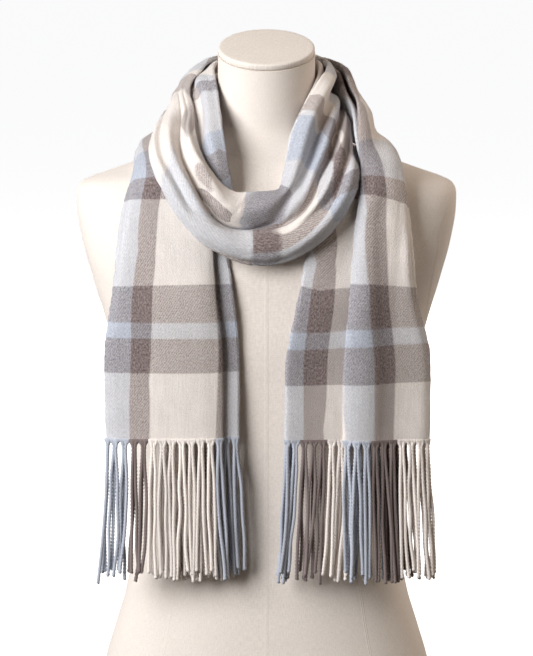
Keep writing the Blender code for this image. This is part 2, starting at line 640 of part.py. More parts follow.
def make_stretch(ribbon, stretch, form_tree, material):
    """One stretch of the scarf as a wall of cloth."""
    start = ribbon.at[stretch.start]
    end = ribbon.at[stretch.end]
    if stretch.start != STATIONS[0].name:
        start += SEAM_GAP / 2
    if stretch.end != STATIONS[-1].name:
        end -= SEAM_GAP / 2
    along = ribbon.rows(start, end, stretch.rows)
    places = ribbon.columns(along, stretch.columns)
    middle = ribbon.surface(along, places)
    middle = clear_of_form(middle, form_tree, FORM_CLEARANCE + CLOTH_THICKNESS / 2)
    normals = surface_normals(middle)
    _, across, outwards = ribbon.frames(along)
    for end in (0, -1):
        travel = np.cross(outwards[end], across[end])
        normals[end] -= (normals[end] @ travel)[:, None] * travel
    offset = unit(normals) * CLOTH_THICKNESS / 2
    points = np.concatenate([(middle + offset).reshape(-1, 3), (middle - offset).reshape(-1, 3)])
    return solid(stretch.name, points, wall_faces(*middle.shape[:2]), material)


def make_fringe(ribbon, name, station, way, material):
    """A hem's strands, in one body with the narrow strip that they grow from.

    way is 1 where the strands go on along the ribbon and -1 where they go back.
    """
    along = np.array([ribbon.at[station]])
    places = np.linspace(-SCARF_WIDTH / 2, SCARF_WIDTH / 2, 2 * FRINGE_STRANDS)
    centre, across, outwards = (v[0] for v in ribbon.frames(along))
    down = way * np.cross(outwards, across)
    line = ribbon.sections(along, places)[0]
    line[:, 1] += ribbon.lift_at(along, line[None, :, 0])[0]
    run = unit(np.gradient(line, axis=0))
    side = np.stack([-run[:, 1], run[:, 0]], axis=1) * CLOTH_THICKNESS / 2
    edges = np.stack([line + side, line - side])

    def placed(flat, depth):
        return centre + flat[..., :1] * across + flat[..., 1:] * outwards + depth * down

    top = placed(edges, SEAM_GAP)
    low = placed(edges, SEAM_GAP + FRINGE_STRIP_HEIGHT)
    points = np.concatenate([top.reshape(-1, 3), low.reshape(-1, 3)]).tolist()
    count = len(places)

    def at(layer, level, column):
        return (2 * level + layer) * count + column

    faces = [(at(0, 0, 0), at(1, 0, 0), at(1, 1, 0), at(0, 1, 0))]
    e = count - 1
    faces.append((at(0, 0, e), at(0, 1, e), at(1, 1, e), at(1, 0, e)))
    for c in range(e):
        faces.append((at(0, 0, c), at(0, 1, c), at(0, 1, c + 1), at(0, 0, c + 1)))
        faces.append((at(1, 0, c), at(1, 0, c + 1), at(1, 1, c + 1), at(1, 1, c)))
        faces.append((at(0, 0, c), at(0, 0, c + 1), at(1, 0, c + 1), at(1, 0, c)))
        root = (at(0, 1, c), at(1, 1, c), at(1, 1, c + 1), at(0, 1, c + 1))
        if c % 2:
            faces.append(root)
            continue
        strand = c // 2
        corners = np.array([points[i] for i in root])
        middle = corners.mean(axis=0)
        length = FRINGE_LENGTH * (0.95 + 0.05 * math.sin(2.4 * strand))
        sway = STRAND_SWAY * math.sin(0.35 * strand)
        for part in (0.5, 1.0):
            shift = down * length * part + across * sway * part**2
            ring = middle + (corners - middle) * STRAND_TAPER + shift
            first = len(points)
            points.extend(ring.tolist())
            tip = tuple(range(first, first + 4))
            for i in range(4):
                j = (i + 1) % 4
                faces.append((root[i], root[j], tip[j], tip[i]))
            root = tip
        faces.append(root)
    if way > 0:
        faces = [tuple(reversed(face)) for face in faces]
    return solid(name, points, faces, material)


def main():
    clear_scene()
    linen = finish("linen", LINEN, 0.85)
    linen_cap = finish("linen_cap", LINEN, 0.8)
    form = make_form(linen)
    make_cap(linen_cap)
    form_tree = tree_of(form)
    ribbon = Ribbon()
    ribbon.lay(form_tree)
    for stretch in STRETCHES:
        wool = finish(stretch.name, PLAID_MIX, 0.95)
        make_stretch(ribbon, stretch, form_tree, wool)
    for name, station, way in (("fringe_left", "left_hem", -1), ("fringe_right", "right_hem", 1)):
        make_fringe(ribbon, name, station, way, finish(name, FRINGE_MIX, 0.95))


if __name__ == "__main__":
    main()
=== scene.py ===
"""The looks of a plaid scarf on a dress form: woven wool, twisted fringe and linen.

It is laid out as a Blender add-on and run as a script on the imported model. Sizes in the
tables are in millimetres and MM turns them into Blender's metres. The cloth is one ribbon:
STATIONS says where it runs, SECTIONS how it is folded, LAYERS what each pass lies over.
"""

import math
from collections import namedtuple

import bpy
import numpy as np
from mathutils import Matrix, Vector
from mathutils.bvhtree import BVHTree


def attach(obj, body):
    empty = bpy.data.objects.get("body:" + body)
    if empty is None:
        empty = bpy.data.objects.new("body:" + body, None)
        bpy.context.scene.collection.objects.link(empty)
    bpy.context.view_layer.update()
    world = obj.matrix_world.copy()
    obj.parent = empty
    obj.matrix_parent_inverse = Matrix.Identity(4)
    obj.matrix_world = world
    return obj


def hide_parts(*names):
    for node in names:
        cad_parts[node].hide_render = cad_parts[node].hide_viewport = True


bl_info = {
    "name": "Plaid scarf on a dress form",
    "version": (1, 0, 0),
    "blender": (4, 5, 0),
    "location": "3D View > Sidebar > Scarf",
    "description": "Builds a wound plaid scarf with a twisted fringe on a linen dress form",
    "category": "Add Mesh",
}

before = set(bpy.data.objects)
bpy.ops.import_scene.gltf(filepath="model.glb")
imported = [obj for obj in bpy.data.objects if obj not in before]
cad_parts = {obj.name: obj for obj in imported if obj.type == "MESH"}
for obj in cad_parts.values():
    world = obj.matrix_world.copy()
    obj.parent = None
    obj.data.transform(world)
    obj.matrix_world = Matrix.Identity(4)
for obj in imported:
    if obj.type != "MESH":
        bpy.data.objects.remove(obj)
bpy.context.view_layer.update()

MM = 0.001

# ---- the cloth, in millimetres ------------------------------------------------------
SCARF_WIDTH = 300.0
CLOTH_THICKNESS = 2.0
FORM_CLEARANCE = 1.6
LAYER_GAP = 2.0
LAY_ROW = 8.0
LAY_COLUMN = 8.0
LAY_REACH = 88.0
LAY_START = 60.0
CLOTH_COLUMNS = 172
CLOTH_ROWS = 280

# ---- the dress form, one row for each horizontal ring -------------------------------
# height, half of the width, depth before and behind the centre line, how square the
# ring is (2 is an ellipse), how far its centre leans forward, and its forward tilt.
Ring = namedtuple("Ring", "height half_width front back square lean tilt")
FORM_RINGS = (
    Ring(0, 204, 110, 116, 2.5, 0, 0),
    Ring(45, 196, 107, 114, 2.5, 0, 0),
    Ring(90, 183, 102, 107, 2.5, 0, 0),
    Ring(134, 170, 98, 98, 2.5, 0, 0),
    Ring(215, 157, 93, 88, 2.4, 0, 0),
    Ring(300, 161, 95, 90, 2.4, 0, 0),
    Ring(380, 173, 100, 97, 2.4, 0, 0),
    Ring(450, 189, 105, 103, 2.6, 0, 0),
    Ring(514, 207, 105, 106, 2.9, 0, 0),
    Ring(560, 219, 99, 103, 3.1, 0, 0),
    Ring(598, 225, 90, 97, 3.1, 0, 0),
    Ring(616, 225.5, 84, 92, 2.9, 0, 0),
    Ring(626, 221, 80, 88, 2.6, 0, 0),
    Ring(633, 207, 78, 86, 2.4, 0, 0),
    Ring(642, 182, 74, 82, 2.1, 0, 0),
    Ring(653, 151, 69, 77, 2.0, 0, 0),
    Ring(665, 118, 65, 72, 2.0, 0, 0),
    Ring(678, 88, 62.5, 67, 2.0, 0, 0),
    Ring(690, 69, 60, 62.5, 2.0, 1, 1),
    Ring(703, 60.5, 58.5, 59.5, 2.0, 3, 4),
    Ring(722, 58, 57.5, 57.5, 2.0, 6, 9),
    Ring(748, 57.3, 57, 57, 2.0, 10, 15),
    Ring(779, 57.3, 57, 57, 2.0, 15, 20),
)
FORM_SIDES = 144
FORM_LEVELS = 150
NECK_TILT = 20.0
CAP_RADIUS = 56.8
CAP_THICKNESS = 8.0
CAP_GAP = 0.3
CAP_ROUND = 2.6

# ---- how the cloth is folded, one row for each section of the ribbon ------------------
Section = namedtuple(
    "Section",
    "selvedge tuck outer_turn ridge_a dip_a ridge_b crease_b ridge_c crease_c ridge_d"
    " turn_1 between_1 turn_2 crease_e ridge_e turn_3 between_3 other_selvedge turns_at",
)
TURNS = ("outer_turn", "turn_1", "turn_2", "turn_3")
SECTIONS = {
    "left_hem": Section(
        (-72, -2), (-75, -1), (-77, 2), (-66, 6.5), (-45, 8.5), (-22, 9.5), (-2, 10), (18, 10),
        (36, 9), (50, 6.5), (59, 3), (25, 1), (-8, -1.5), (16, -4.5), (44, -5), (77, -6),
        (77.5, -6.5), (78, -7), (-146, -12),
    ),
    "left_chest": Section(
        (-54, -7), (-61, -6), (-67, -1), (-60, 6), (-42, 9), (-22, 10.5), (-4, 11.5), (14, 11.5),
        (30, 10.5), (44, 7.5), (51, 3.5), (20, 1), (-16, -1.5), (6, -5), (34, -5), (69, -6),
        (69.5, -6.5), (70, -7), (-135, -13),
    ),
    "left_collarbone": Section(
        (-36, -10), (-48, -9), (-57, -1), (-50, 7), (-34, 10.5), (-18, 11.5), (-2, 11.5),
        (13, 11), (28, 9.5), (40, 7), (48, 3.5), (18, 1), (-22, -2), (2, -5.5), (28, -5.5), (62, -5),
        (62.5, -5.5), (63, -6), (-128, -12),
    ),
    "left_front_shoulder": Section(
        (-8, -10), (-30, -9), (-44, 0), (-37, 8), (-24, 11), (-12, 11), (2, 10), (14, 10),
        (26, 9), (38, 8), (46, 4.5), (16, 2.5), (-24, -1.5), (0, -5.5), (24, -5), (58, -1),
        (58.5, -1.2), (59, -1.4), (-128, -20),
    ),
    "left_shoulder": Section(
        (-2, -6.5), (-30, -5), (-43, 2), (-36, 9), (-24, 11), (-12, 10.5), (0, 9), (0, 8.5),
        (12, 8), (28, 8), (43, 9), (18, 3.5), (-22, 1.5), (-2, -2), (22, -2), (50, 4),
        (50.3, 3.5), (50.6, 3), (-125, -25),
    ),
    "nape": Section(
        (-36, -7.5), (-42, -7), (-47, 1), (-40, 7.5), (-28, 8.5), (-16, 8.5), (-6, 8.5), (8, 8.5),
        (20, 8.5), (32, 8), (43, 5), (0, 3), (-39, -0.5), (-14, -4), (14, -4), (43, -4.5),
        (43.5, -5), (44, -5.5), (-145, -50),
    ),
    "loop_right_start": Section(
        (-16, -5), (-28, -4), (-38, 0), (-33, 5), (-26, 5), (-18, 6), (-10, 3), (-3, 6), (4, 3),
        (18, 8), (38, 3), (20, 0), (-6, -2.5), (8, -5.5), (24, -5.5), (40, -6), (8, -9),
        (-25, -9.5), (-125, -20),
    ),
    "loop_right": Section(
        (-2, -8), (-18, -7), (-31, 0), (-29, 5), (-26, 6), (-23, 8), (-19, 1), (-8, 11), (3, 0),
        (16, 12), (29, 3), (16, -1), (2, -4.5), (10, -8), (18, -8), (27, -8.5), (4, -12),
        (-24, -11), (-104, -8),
    ),
    "loop_right_front": Section(
        (-8, -7), (-24, -6), (-38, 0), (-34, 7), (-29, 6), (-20, 12), (-12, 0), (-1, 13), (10, 0),
        (25, 15), (39, 4), (22, -2), (4, -5), (14, -9), (25, -9.5), (38, -10), (6, -13),
        (-32, -11), (-110, -8),
    ),
    "loop_right_low": Section(
        (-16, -5), (-34, -4), (-44, 3), (-35, 10), (-25, 4), (-12, 15), (0, 1), (9, 13), (18, 2),
        (29, 14), (42, 5), (26, -1), (8, -4), (20, -7.5), (32, -7.5), (42, -8), (8, -11),
        (-34, -10), (-126, -8),
    ),
    "loop_front_right": Section(
        (-14, -4), (-30, -2), (-42, 4), (-33, 14), (-14, 13), (-9, 16), (-2, 2), (9, 14), (22, 7),
        (27, 13), (37, 8), (22, 0), (6, -4.5), (18, -8.5), (28, -9), (35, -10), (4, -13),
        (-34, -9), (-126, -12),
    ),
    "loop_front": Section(
        (-14, -4), (-30, -3), (-45, 4), (-39, 15), (-27, 21), (-11, 19), (-3, 7), (0, -1), (5, 8),
        (20, 18), (40, 9), (26, 0), (8, -5), (20, -8.5), (30, -9), (37, -10), (4, -13), (-34, -9),
        (-126, -12),
    ),
    "loop_front_left": Section(
        (-10, -5), (-24, -4), (-38, 2), (-34, 12), (-26, 17), (-15, 16), (-10, 5), (-7, -2),
        (-3, 6), (10, 17), (34, 9), (16, 0), (-2, -5), (12, -8.5), (24, -9), (31, -10), (0, -13),
        (-34, -10), (-112, -12),
    ),
    "loop_left_low": Section(
        (-14, -5), (-28, -4), (-41, 2), (-34, 12), (-25, 9), (-15, 15), (-6, -1), (-1, 6),
        (4, 10), (12, 15), (22, 4), (10, -1), (-6, -4.5), (14, -7), (28, 1), (38, -1), (8, -10.5),
        (-37, -10), (-100, -8),
    ),
    "loop_left": Section(
        (-17, -5), (-34, -4), (-46, 3), (-40, 11), (-33, 8), (-21, 15), (-10, 0), (-6, 8),
        (-2, 11), (3, 14), (11, 4), (3, 0), (-8, -4), (12, -8), (26, 8), (42, 4), (10, -11),
        (-40, -10), (-97, -8),
    ),
    "loop_left_shoulder": Section(
        (-20, -5), (-30, -4), (-38, 2), (-34, 9), (-30, 9), (-16, 14), (-5, 8), (-2, 7), (0, 5),
        (2, 3.5), (5, 0.5), (-2, -1.8), (-12, -0.5), (12, -6), (24, 7), (38, 3), (10, -9.5),
        (-34, -8.5), (-97, -8),
    ),
    "loop_left_end": Section(
        (-20, -4), (-32, -3), (-40, 3), (-34, 8), (-27, 9), (-15, 10), (-5, 8), (4, 8), (14, 8),
        (24, 8), (38, 5), (10, 1), (-16, -2.5), (0, -5), (20, -5), (40, -3), (26, -8), (2, -9),
        (-105, -20),
    ),
    "right_shoulder": Section(
        (4, -8), (-12, -8), (-30, 0), (-25, 7), (-17, 9), (-8, 10), (0, 9.5), (7, 9), (14, 9),
        (21, 8), (28, 4.5), (6, 2), (-16, -1), (2, -4.5), (14, -4.5), (25, -5.5), (8, -13),
        (-28, -13), (-42, 24),
    ),
    "right_front_shoulder": Section(
        (-3, -9.5), (-14, -9.5), (-29, -0.5), (-24, 8), (-16, 12), (-8, 13), (0, 12.5), (6, 12),
        (12, 11), (18, 9), (25, 5), (6, 2), (-18, -1.5), (0, -5), (14, -5), (20, -6.5),
        (8, -13.5), (-26, -13), (-42, 24),
    ),
    "right_collarbone": Section(
        (12, -9), (-16, -9), (-48, -2), (-42, 6), (-32, 7.5), (-20, 8.5), (-10, 10), (0, 12.5),
        (7, 12), (13, 9), (18, 4), (0, 1.5), (-22, -2), (0, -5), (28, -4.5), (62, -5), (56, -11),
        (36, -12.5), (-47, 26),
    ),
    "right_chest": Section(
        (20, -8), (-30, -8), (-66, -3), (-58, 3.5), (-46, 4.5), (-34, 5), (-22, 8), (-12, 11.5),
        (-2, 12.5), (7, 10), (14, 4), (2, 1.5), (-10, -1.5), (14, -4.5), (40, -4), (72, -5),
        (66, -9), (52, -9.5), (-54, 30),
    ),
    "right_hem": Section(
        (3, -5.5), (-40, -5.5), (-85, -1), (-76, 3), (-60, 3.5), (-45, 4), (-30, 6.5), (-15, 11),
        (-2, 12), (10, 9.5), (19, 4), (13, 1.5), (7, 0), (30, -2.5), (58, -3), (86, -4),
        (81, -8.5), (73, -9), (-61, 43),
    ),
}

# ---- where the ribbon runs, one row for each station -------------------------------
Station = namedtuple("Station", "name x y z to_x to_y to_z section")
STATIONS = (
    Station("left_hem", -110, -118, 338, 1, 0, 0, "left_hem"),
    Station("left_belly", -110, -118, 430, 1, 0, 0, "left_hem"),
    Station("left_chest", -110, -117, 515, 1, 0, 0, "left_chest"),
    Station("left_collarbone", -112, -99, 590, 1, 0, 0.02, "left_collarbone"),
    Station("left_front_shoulder", -112, -65, 655, 0.95, -0.12, 0.2, "left_front_shoulder"),
    Station("left_shoulder", -104, -2, 683, 0.904, 0, 0.427, "left_shoulder"),
    Station("left_back_shoulder", -60, 36, 709, 0.26, -0.17, 0.95, "nape"),
    Station("left_nape", -37, 59, 720, 0.08, -0.25, 0.95, "nape"),
    Station("nape_inner", 0, 70, 724, 0, -0.25, 0.97, "nape"),
    Station("right_nape", 42, 60, 728, -0.08, -0.22, 0.96, "nape"),
    Station("loop_right_back", 62, 27, 730, -0.15, -0.1, 0.98, "loop_right_start"),
    Station("loop_right", 71, -26, 721, -0.62, 0, 0.78, "loop_right"),
    Station("loop_right_front", 65, -66, 674, -0.9, -0.1, 0.42, "loop_right_front"),
    Station("loop_right_low", 60, -95, 631, -0.86, 0.2, 0.45, "loop_right_low"),
    Station("loop_front_right", 38, -106, 597, -0.5, 0.25, 0.8, "loop_front_right"),
    Station("loop_front", -3, -112, 583, 0, 0.25, 0.97, "loop_front"),
    Station("loop_front_left", -51, -115, 594, 0.42, 0.28, 0.84, "loop_front_left"),
    Station("loop_left_low", -75, -114, 627, 0.79, 0.3, 0.49, "loop_left_low"),
    Station("loop_left_front", -89, -92, 670, 0.9, 0.2, 0.35, "loop_left"),
    Station("loop_left", -88, -24, 716, 0.84, 0, 0.54, "loop_left_shoulder"),
    Station("loop_left_back", -80, 34, 733, 0.5, -0.27, 0.82, "loop_left_end"),
    Station("left_nape_outer", -48, 77, 729, 0.1, -0.25, 0.96, "nape"),
    Station("nape_outer", 0, 90, 728, 0, -0.2, 0.98, "nape"),
    Station("right_nape_outer", 52, 78, 731, -0.1, -0.2, 0.97, "nape"),
    Station("right_back_shoulder", 80, 36, 732, -0.25, -0.2, 0.95, "right_shoulder"),
    Station("right_shoulder", 90, -4, 712, -0.3, 0, 0.95, "right_shoulder"),
    Station("right_front_shoulder", 126, -62, 652, -0.84, -0.35, 0.2, "right_front_shoulder"),
    Station("right_collarbone", 120, -97, 584, -1, -0.07, 0.02, "right_collarbone"),
    Station("right_chest", 110, -115, 505, -1, -0.14, 0, "right_chest"),
    Station("right_belly", 108, -114, 415, -1, -0.17, 0, "right_hem"),
    Station("right_hem", 107, -114, 335, -1, -0.17, 0, "right_hem"),
)

Layer = namedtuple("Layer", "name start end first_place last_place over")
LAYERS = (
    Layer("first", "left_hem", "right_nape", -150, 150, ()),
    Layer("tucked", "right_front_shoulder", "right_hem", 60, 150, ()),
    Layer("loop", "right_nape", "left_nape_outer", -150, 150, ("first", "tucked")),
    Layer("last", "left_nape_outer", "right_front_shoulder", -150, 150, ("first", "loop")),
    Layer("front", "right_front_shoulder", "right_chest", -150, 60, ("loop",)),
)

# ---- the pieces of cloth, and the CAD nodes that each stands for -----------------------
Piece = namedtuple("Piece", "name start end nodes")
PIECES = (
    Piece("left_tail_cloth", "left_hem", "loop_right_back", ("scarf_left_tail", "scarf_inner_nape")),
    Piece("loop_cloth", "loop_right_back", "loop_left_back", ("scarf_front_loop",)),
    Piece("right_tail_cloth", "loop_left_back", "right_hem", ("scarf_outer_nape", "scarf_right_tail")),
)

# ---- the plaid: bands of warp across the cloth, and of weft from each hem ---------------
WARP = (
    (36, "blue"), (27, "brown"), (73, "cream"), (27, "brown"), (36, "blue"), (38, "cream"),
    (27, "brown"), (36, "blue"),
)
WEFT = (
    (80, "cream"), (42, "brown"), (19, "blue"), (44, "brown"), (102, "cream"), (26, "brown"),
    (42, "blue"), (67, "cream"), (19, "brown"),
)
BAND_BLUR = 0.8

# The weft at a distance along the ribbon, counted from the nearer hem's first thread.
WEFT_RUN = (
    (0, 0), (77, 80), (118, 122), (136, 141), (178, 185), (274.5, 287), (299, 313), (490, 505),
    (655, 235), (690, 287), (706, 313), (765, 355), (812, 422), (852, 432), (900, 422),
    (960, 385), (1030, 395), (1090, 422), (1110, 441), (1160, 480), (1235, 541), (1300, 500),
    (1369, 441), (1390, 422), (1479, 355), (1525, 313), (1547, 287), (1642, 185), (1693, 141),
    (1713, 122), (1759, 80), (1827, 0),
)
# Where threads have slid in the folds, and a few brown weft pins that are painted shade: (along, place,
# the thread that lies there).
PIN_REACH = 55.0
PIN_ALONG = 0.6
# The roll turns over here, so its warp starts anew.
ROLL_TURN = 882.0
WEFT_PINS = (
    (687, -18, 287), (707, -20, 313), (765, -25, 355), (809, -26, 422), (701, -59, 287),
    (718, -50, 313), (766, -39, 355), (740, -88, 287), (762, -86, 313), (806, -84, 355),
    (776, -104, 287), (800, -104, 313), (806, -106, 355), (815, -118, 355), (846, -92, 412),
    (848, -110, 412), (857, -80, 422), (858, -93, 422), (860, -108, 422), (860, -120, 422),
    (870, -80, 432), (871, -93, 432), (872, -108, 432), (872, -120, 432), (882.5, -80, 422),
    (882.5, -93, 422), (882.5, -108, 422), (882.5, -120, 422), (892, -93, 412),
    (892, -110, 412), (902, -20, 422), (900, -45, 422), (932, -36, 405), (953, -36, 421),
    (956, -30, 424), (970, -26, 432), (983, -24, 424), (987, -24, 420), (998, -24, 408),
    (1017, -23.5, 422), (1046, -21, 441), (930, -85, 395), (985, -80, 385), (1028, -50, 390),
    (1061, -43, 400), (1105, -20, 422), (1127, -25, 441), (1107, -45, 422), (1077, -81, 422),
    # The pins from (947, 50, 318) to (962, 50, 310) lie on the inner strand beside the neck. Their
    # brown weft is painted shade that darkens the strand for the shadow it lies in; the strand's blue
    # warp is its own colour.
    (1102, -81, 441), (947, 50, 318), (960, 56, 313), (975, 58, 304), (1002, 60, 312),
    (1008, 60, 340), (975, 44, 304), (1002, 40, 312), (1008, 40, 340), (1002, 78, 312),
    (962, 50, 310), (1050, 55, 385), (1088, 64, 422), (1105, 72, 441), (1655, 108, 185),
    (1384, 39, 422), (1366, 33, 441), (1396, 104, 422), (1372, 103, 441),
)
WARP_PINS = (
    (3.5, -21, 136), (4, -117, 36), (4, -95, 63), (69, -116, 36), (69, -95, 63),
    (115, -114, 36), (115, -92, 63), (173, -108.5, 36), (173, -86, 63), (218, -100, 36),
    (218, -80, 63), (260, -99, 36), (260, -77, 63), (299, -98, 36), (316, -101, 36),
    (1567, 12, 163), (1563, -10, 136), (1517, 24, 163), (1518, -1, 136), (1480, 7, 136),
    (1469, 30, 163), (1458, 12.6, 136), (1430, 20.5, 136), (1397, 33, 148), (1366, 33, 150),
    (1425, 127, 175), (1443, 147, 152), (1397, 119, 170), (1469, 104, 172), (1372, 103, 150),
    (1396, 104, 158), (1625, 117, 264), (1622, 99.5, 237), (1821, 39, 199), (1815, 113, 264),
    (1815, 91, 237), (1815, 7, 163), (1815, -17, 136), (1651, 6.5, 163), (1649, -17, 136),
    (690, -20, 212), (706, -20, 204), (720, -20, 190), (765, -25, 182), (809, -25, 180),
    (690, -57, 208), (712, -52, 203), (722, -55, 190), (765, -55, 180), (830, -55, 180),
    (720, -76, 122), (720, -88, 136), (720, -105, 163), (720, -120, 185), (780, -76, 122),
    (780, -88, 136), (780, -105, 163), (780, -120, 185), (830, -76, 124), (830, -89, 136),
    (830, -105, 163), (830, -120, 182), (853, -77, 132), (853, -88, 137), (853, -105, 163),
    (864, -79, 137), (864, -105, 162), (864, -120, 175), (881, -79, 138), (881, -105, 162),
    (881, -120, 175), (882, -20, 188), (882, -35, 190), (882, -50, 194), (884, -68, 190),
    (884, -80, 182), (884, -93, 180), (884, -110, 178), (884, -60, 199), (850, -30, 180),
    (850, -50, 178), (895, -20, 190), (895, -45, 186), (899, -20, 199), (900, -36, 200),
    (901, -50, 201), (905, -20, 210), (905, -40, 222), (912, -20, 212), (912, -42, 238),
    (912, -52, 246), (930, -20, 214), (930, -37, 236), (930, -50, 248), (958, -22, 218),
    (955, -36, 238), (955, -47, 246), (994, -24, 218), (1040, -22, 218), (905, -60, 199),
    (930, -60, 199), (960, -58, 199), (1000, -56, 199), (1016, -59, 199), (985, -85, 199),
    (975, -100, 199), (930, -85, 180), (955, -79, 183), (960, -105, 185), (900, -105, 175),
    (1050, -85, 218), (1061, -43, 218), (1100, -20, 218), (1100, -80, 218), (1030, -95, 215),
    (1028, -50, 210), (1000, 34, 203), (1050, 34, 206), (1095, 40, 204), (950, 55, 183),
    (1000, 55, 185), (1050, 60, 182), (1090, 68, 190), (1100, 75, 190), (950, 75, 172),
    (1050, 75, 174), (1000, 10, 216), (800, 100, 250), (900, 100, 250), (1000, 110, 255),
    (750, 30, 200), (750, 80, 235),
)

# ---- seams of the form: rows of (angle round the form, height) -------------------------
# 0 degrees is the right side (+X) and -90 the front. The left side mirrors the right one.
SIDE_SEAMS = {
    "armhole": (
        (14, 628), (4, 634), (-4, 628), (-9.1, 619), (-13, 603.7), (-15.4, 588), (-17, 572),
        (-17, 553), (-16.5, 521), (-14.4, 490), (-12, 465), (-8, 430), (-4, 380), (-2, 300),
        (-2, 200), (-2, 100), (-2, 2),
    ),
    "princess": (
        (-15.4, 588), (-19, 572), (-24, 550), (-33, 515), (-41, 460), (-43, 400), (-42, 300),
        (-39, 215), (-36, 134), (-35.9, 106), (-35.6, 77.5), (-35, 2),
    ),
    "back": (
        (14, 628), (20, 600), (27, 560), (36, 515), (43, 450), (44, 380), (43, 300), (41, 215),
        (38, 134), (36, 60), (35, 2),
    ),
}
CENTRE_LEVELS = (600, 500, 400, 300, 200, 100, 2)
SEAMS = [
    ((-90, 651), *((-90, level) for level in CENTRE_LEVELS)),
    ((90, 662), *((90, level) for level in CENTRE_LEVELS)),
    (
        (-90, 657), (-104, 658.5), (-116, 661.5), (-126, 664), (-150, 672), (180, 682), (140, 680),
        (90, 677), (40, 680), (0, 682), (-30, 672), (-54, 664), (-64, 661.5), (-76, 658.5),
        (-90, 657),
    ),
]
for seam in SIDE_SEAMS.values():
    SEAMS += [seam, tuple((180 - angle, level) for angle, level in seam)]

# ---- creases: lines of (along, place), half of the width, and the depth ----------------
Crease = namedtuple("Crease", "line half_width depth")
CREASES = (
    Crease(
        ((690, -52), (730, -44), (752, -38), (778, -35), (802, -29), (832, -27), (850, -30)), 2.6, 1.9,
    ),
    Crease(
        (
            (690, -82), (701, -79), (744, -67), (769, -62), (792, -59), (816, -58), (837, -60),
            (852, -64), (866, -76), (900, -76), (926, -79), (955, -79), (990, -73), (1023, -75),
            (1075, -76),
        ),
        2.8, 2.0,
    ),
    Crease(((945, -36), (968, -34), (1003, -29), (1022, -26), (1069, -19), (1110, -22)), 2.6, 1.9),
    Crease(((905, -52), (934, -48), (965, -44), (1011, -42), (1060, -34), (1110, -30)), 2.4, 1.5),
    Crease(((700, -99), (732, -98), (784, -102), (812, -96)), 2.2, 1.3),
    Crease(((925, -30), (941, -37), (952, -47)), 3.0, 1.0),
    Crease(((893, -24), (905, -33), (912, -44)), 2.6, 0.8),
    Crease(((1640, -70), (1600, -62), (1560, -48)), 5.0, 0.9),
    Crease(((210, 10), (330, 22), (372, 40)), 5.0, 1.1),
    Crease(((395, -60), (440, -38), (500, -30)), 4.0, 1.2),
    Crease(((520, -90), (565, -72), (600, -75)), 4.0, 1.0),
    Crease(((1170, -20), (1215, -36), (1268, -34)), 4.5, 1.3),
    Crease(((1190, -95), (1240, -84), (1300, -92), (1340, -80)), 4.0, 1.2),
    Crease(((1285, -5), (1330, -22), (1390, -18)), 4.0, 1.1),
    Crease(((1255, -62), (1290, -55), (1335, -60)), 3.0, -0.9),
    Crease(((1500, -20), (1590, -31), (1700, -24)), 6.0, 0.8),
)


# ---- settings that a user would change -----------------------------------------------
class ScarfSettings(bpy.types.PropertyGroup):
    """Sizes and colours of the scarf."""

    blue: bpy.props.FloatVectorProperty(
        name="Blue yarn", description="Colour of the blue yarn", subtype="COLOR",
        default=(0.50, 0.535, 0.61), min=0, max=1,
    )
    brown: bpy.props.FloatVectorProperty(
        name="Brown yarn", description="Colour of the brown yarn", subtype="COLOR",
        default=(0.235, 0.188, 0.18), min=0, max=1,
    )
    cream: bpy.props.FloatVectorProperty(
        name="Cream yarn", description="Colour of the cream yarn", subtype="COLOR",
        default=(0.86, 0.80, 0.755), min=0, max=1,
    )
    thread: bpy.props.FloatProperty(
        name="Thread spacing", description="Distance between two threads of the twill",
        default=0.00095, min=0.0004, max=0.003, precision=5, unit="LENGTH",
    )
    nap: bpy.props.FloatProperty(
        name="Nap", description="How strongly the brushed fibres show", default=1.0, min=0, max=2
    )
    fringe_length: bpy.props.FloatProperty(
        name="Fringe length", description="Length of the twisted fringe below the hem",
        default=0.172, min=0.02, max=0.3, unit="LENGTH",
    )
    cord_radius: bpy.props.FloatProperty(
        name="Cord radius", description="Half of the thickness of one twisted cord",
        default=0.0023, min=0.0005, max=0.004, precision=4, unit="LENGTH",
    )
    teeth: bpy.props.IntProperty(
        name="Tassels", description="Groups of cords along each hem", default=28, min=4, max=60
    )


class FormSettings(bpy.types.PropertyGroup):
    """Finish of the dress form."""

    linen: bpy.props.FloatVectorProperty(
        name="Linen", description="Colour of the linen cover", subtype="COLOR",
        default=(0.84, 0.77, 0.705), min=0, max=1,
    )
    seam_height: bpy.props.FloatProperty(
        name="Seam height", description="How far a seam stands off the linen",
        default=0.0003, min=0, max=0.001, precision=5, unit="LENGTH",
    )


class StageSettings(bpy.types.PropertyGroup):
    """Floor and light round the form."""

    floor: bpy.props.FloatVectorProperty(
        name="Floor", description="Colour of the studio floor", subtype="COLOR",
        default=(0.93, 0.93, 0.93), min=0, max=1,
    )
    key_power: bpy.props.FloatProperty(
        name="Key light", description="Power of the large light on the left", default=83, min=0,
        unit="POWER",
    )
    fill_power: bpy.props.FloatProperty(
        name="Fill light", description="Power of the softer light on the right", default=35, min=0,
        unit="POWER",
    )
    rim_power: bpy.props.FloatProperty(
        name="Rim light", description="Power of the light behind on the right", default=48, min=0,
        unit="POWER",
    )
    back_power: bpy.props.FloatProperty(
        name="Back light", description="Power of the low light behind", default=90, min=0, unit="POWER"
    )
    sky: bpy.props.FloatProperty(
        name="Sky", description="Strength of the even light from all round", default=0.055, min=0
    )
    sky_colour: bpy.props.FloatVectorProperty(
        name="Sky colour", description="Colour of the even light", subtype="COLOR",
        default=(1.0, 0.76, 0.52), min=0, max=1,
    )


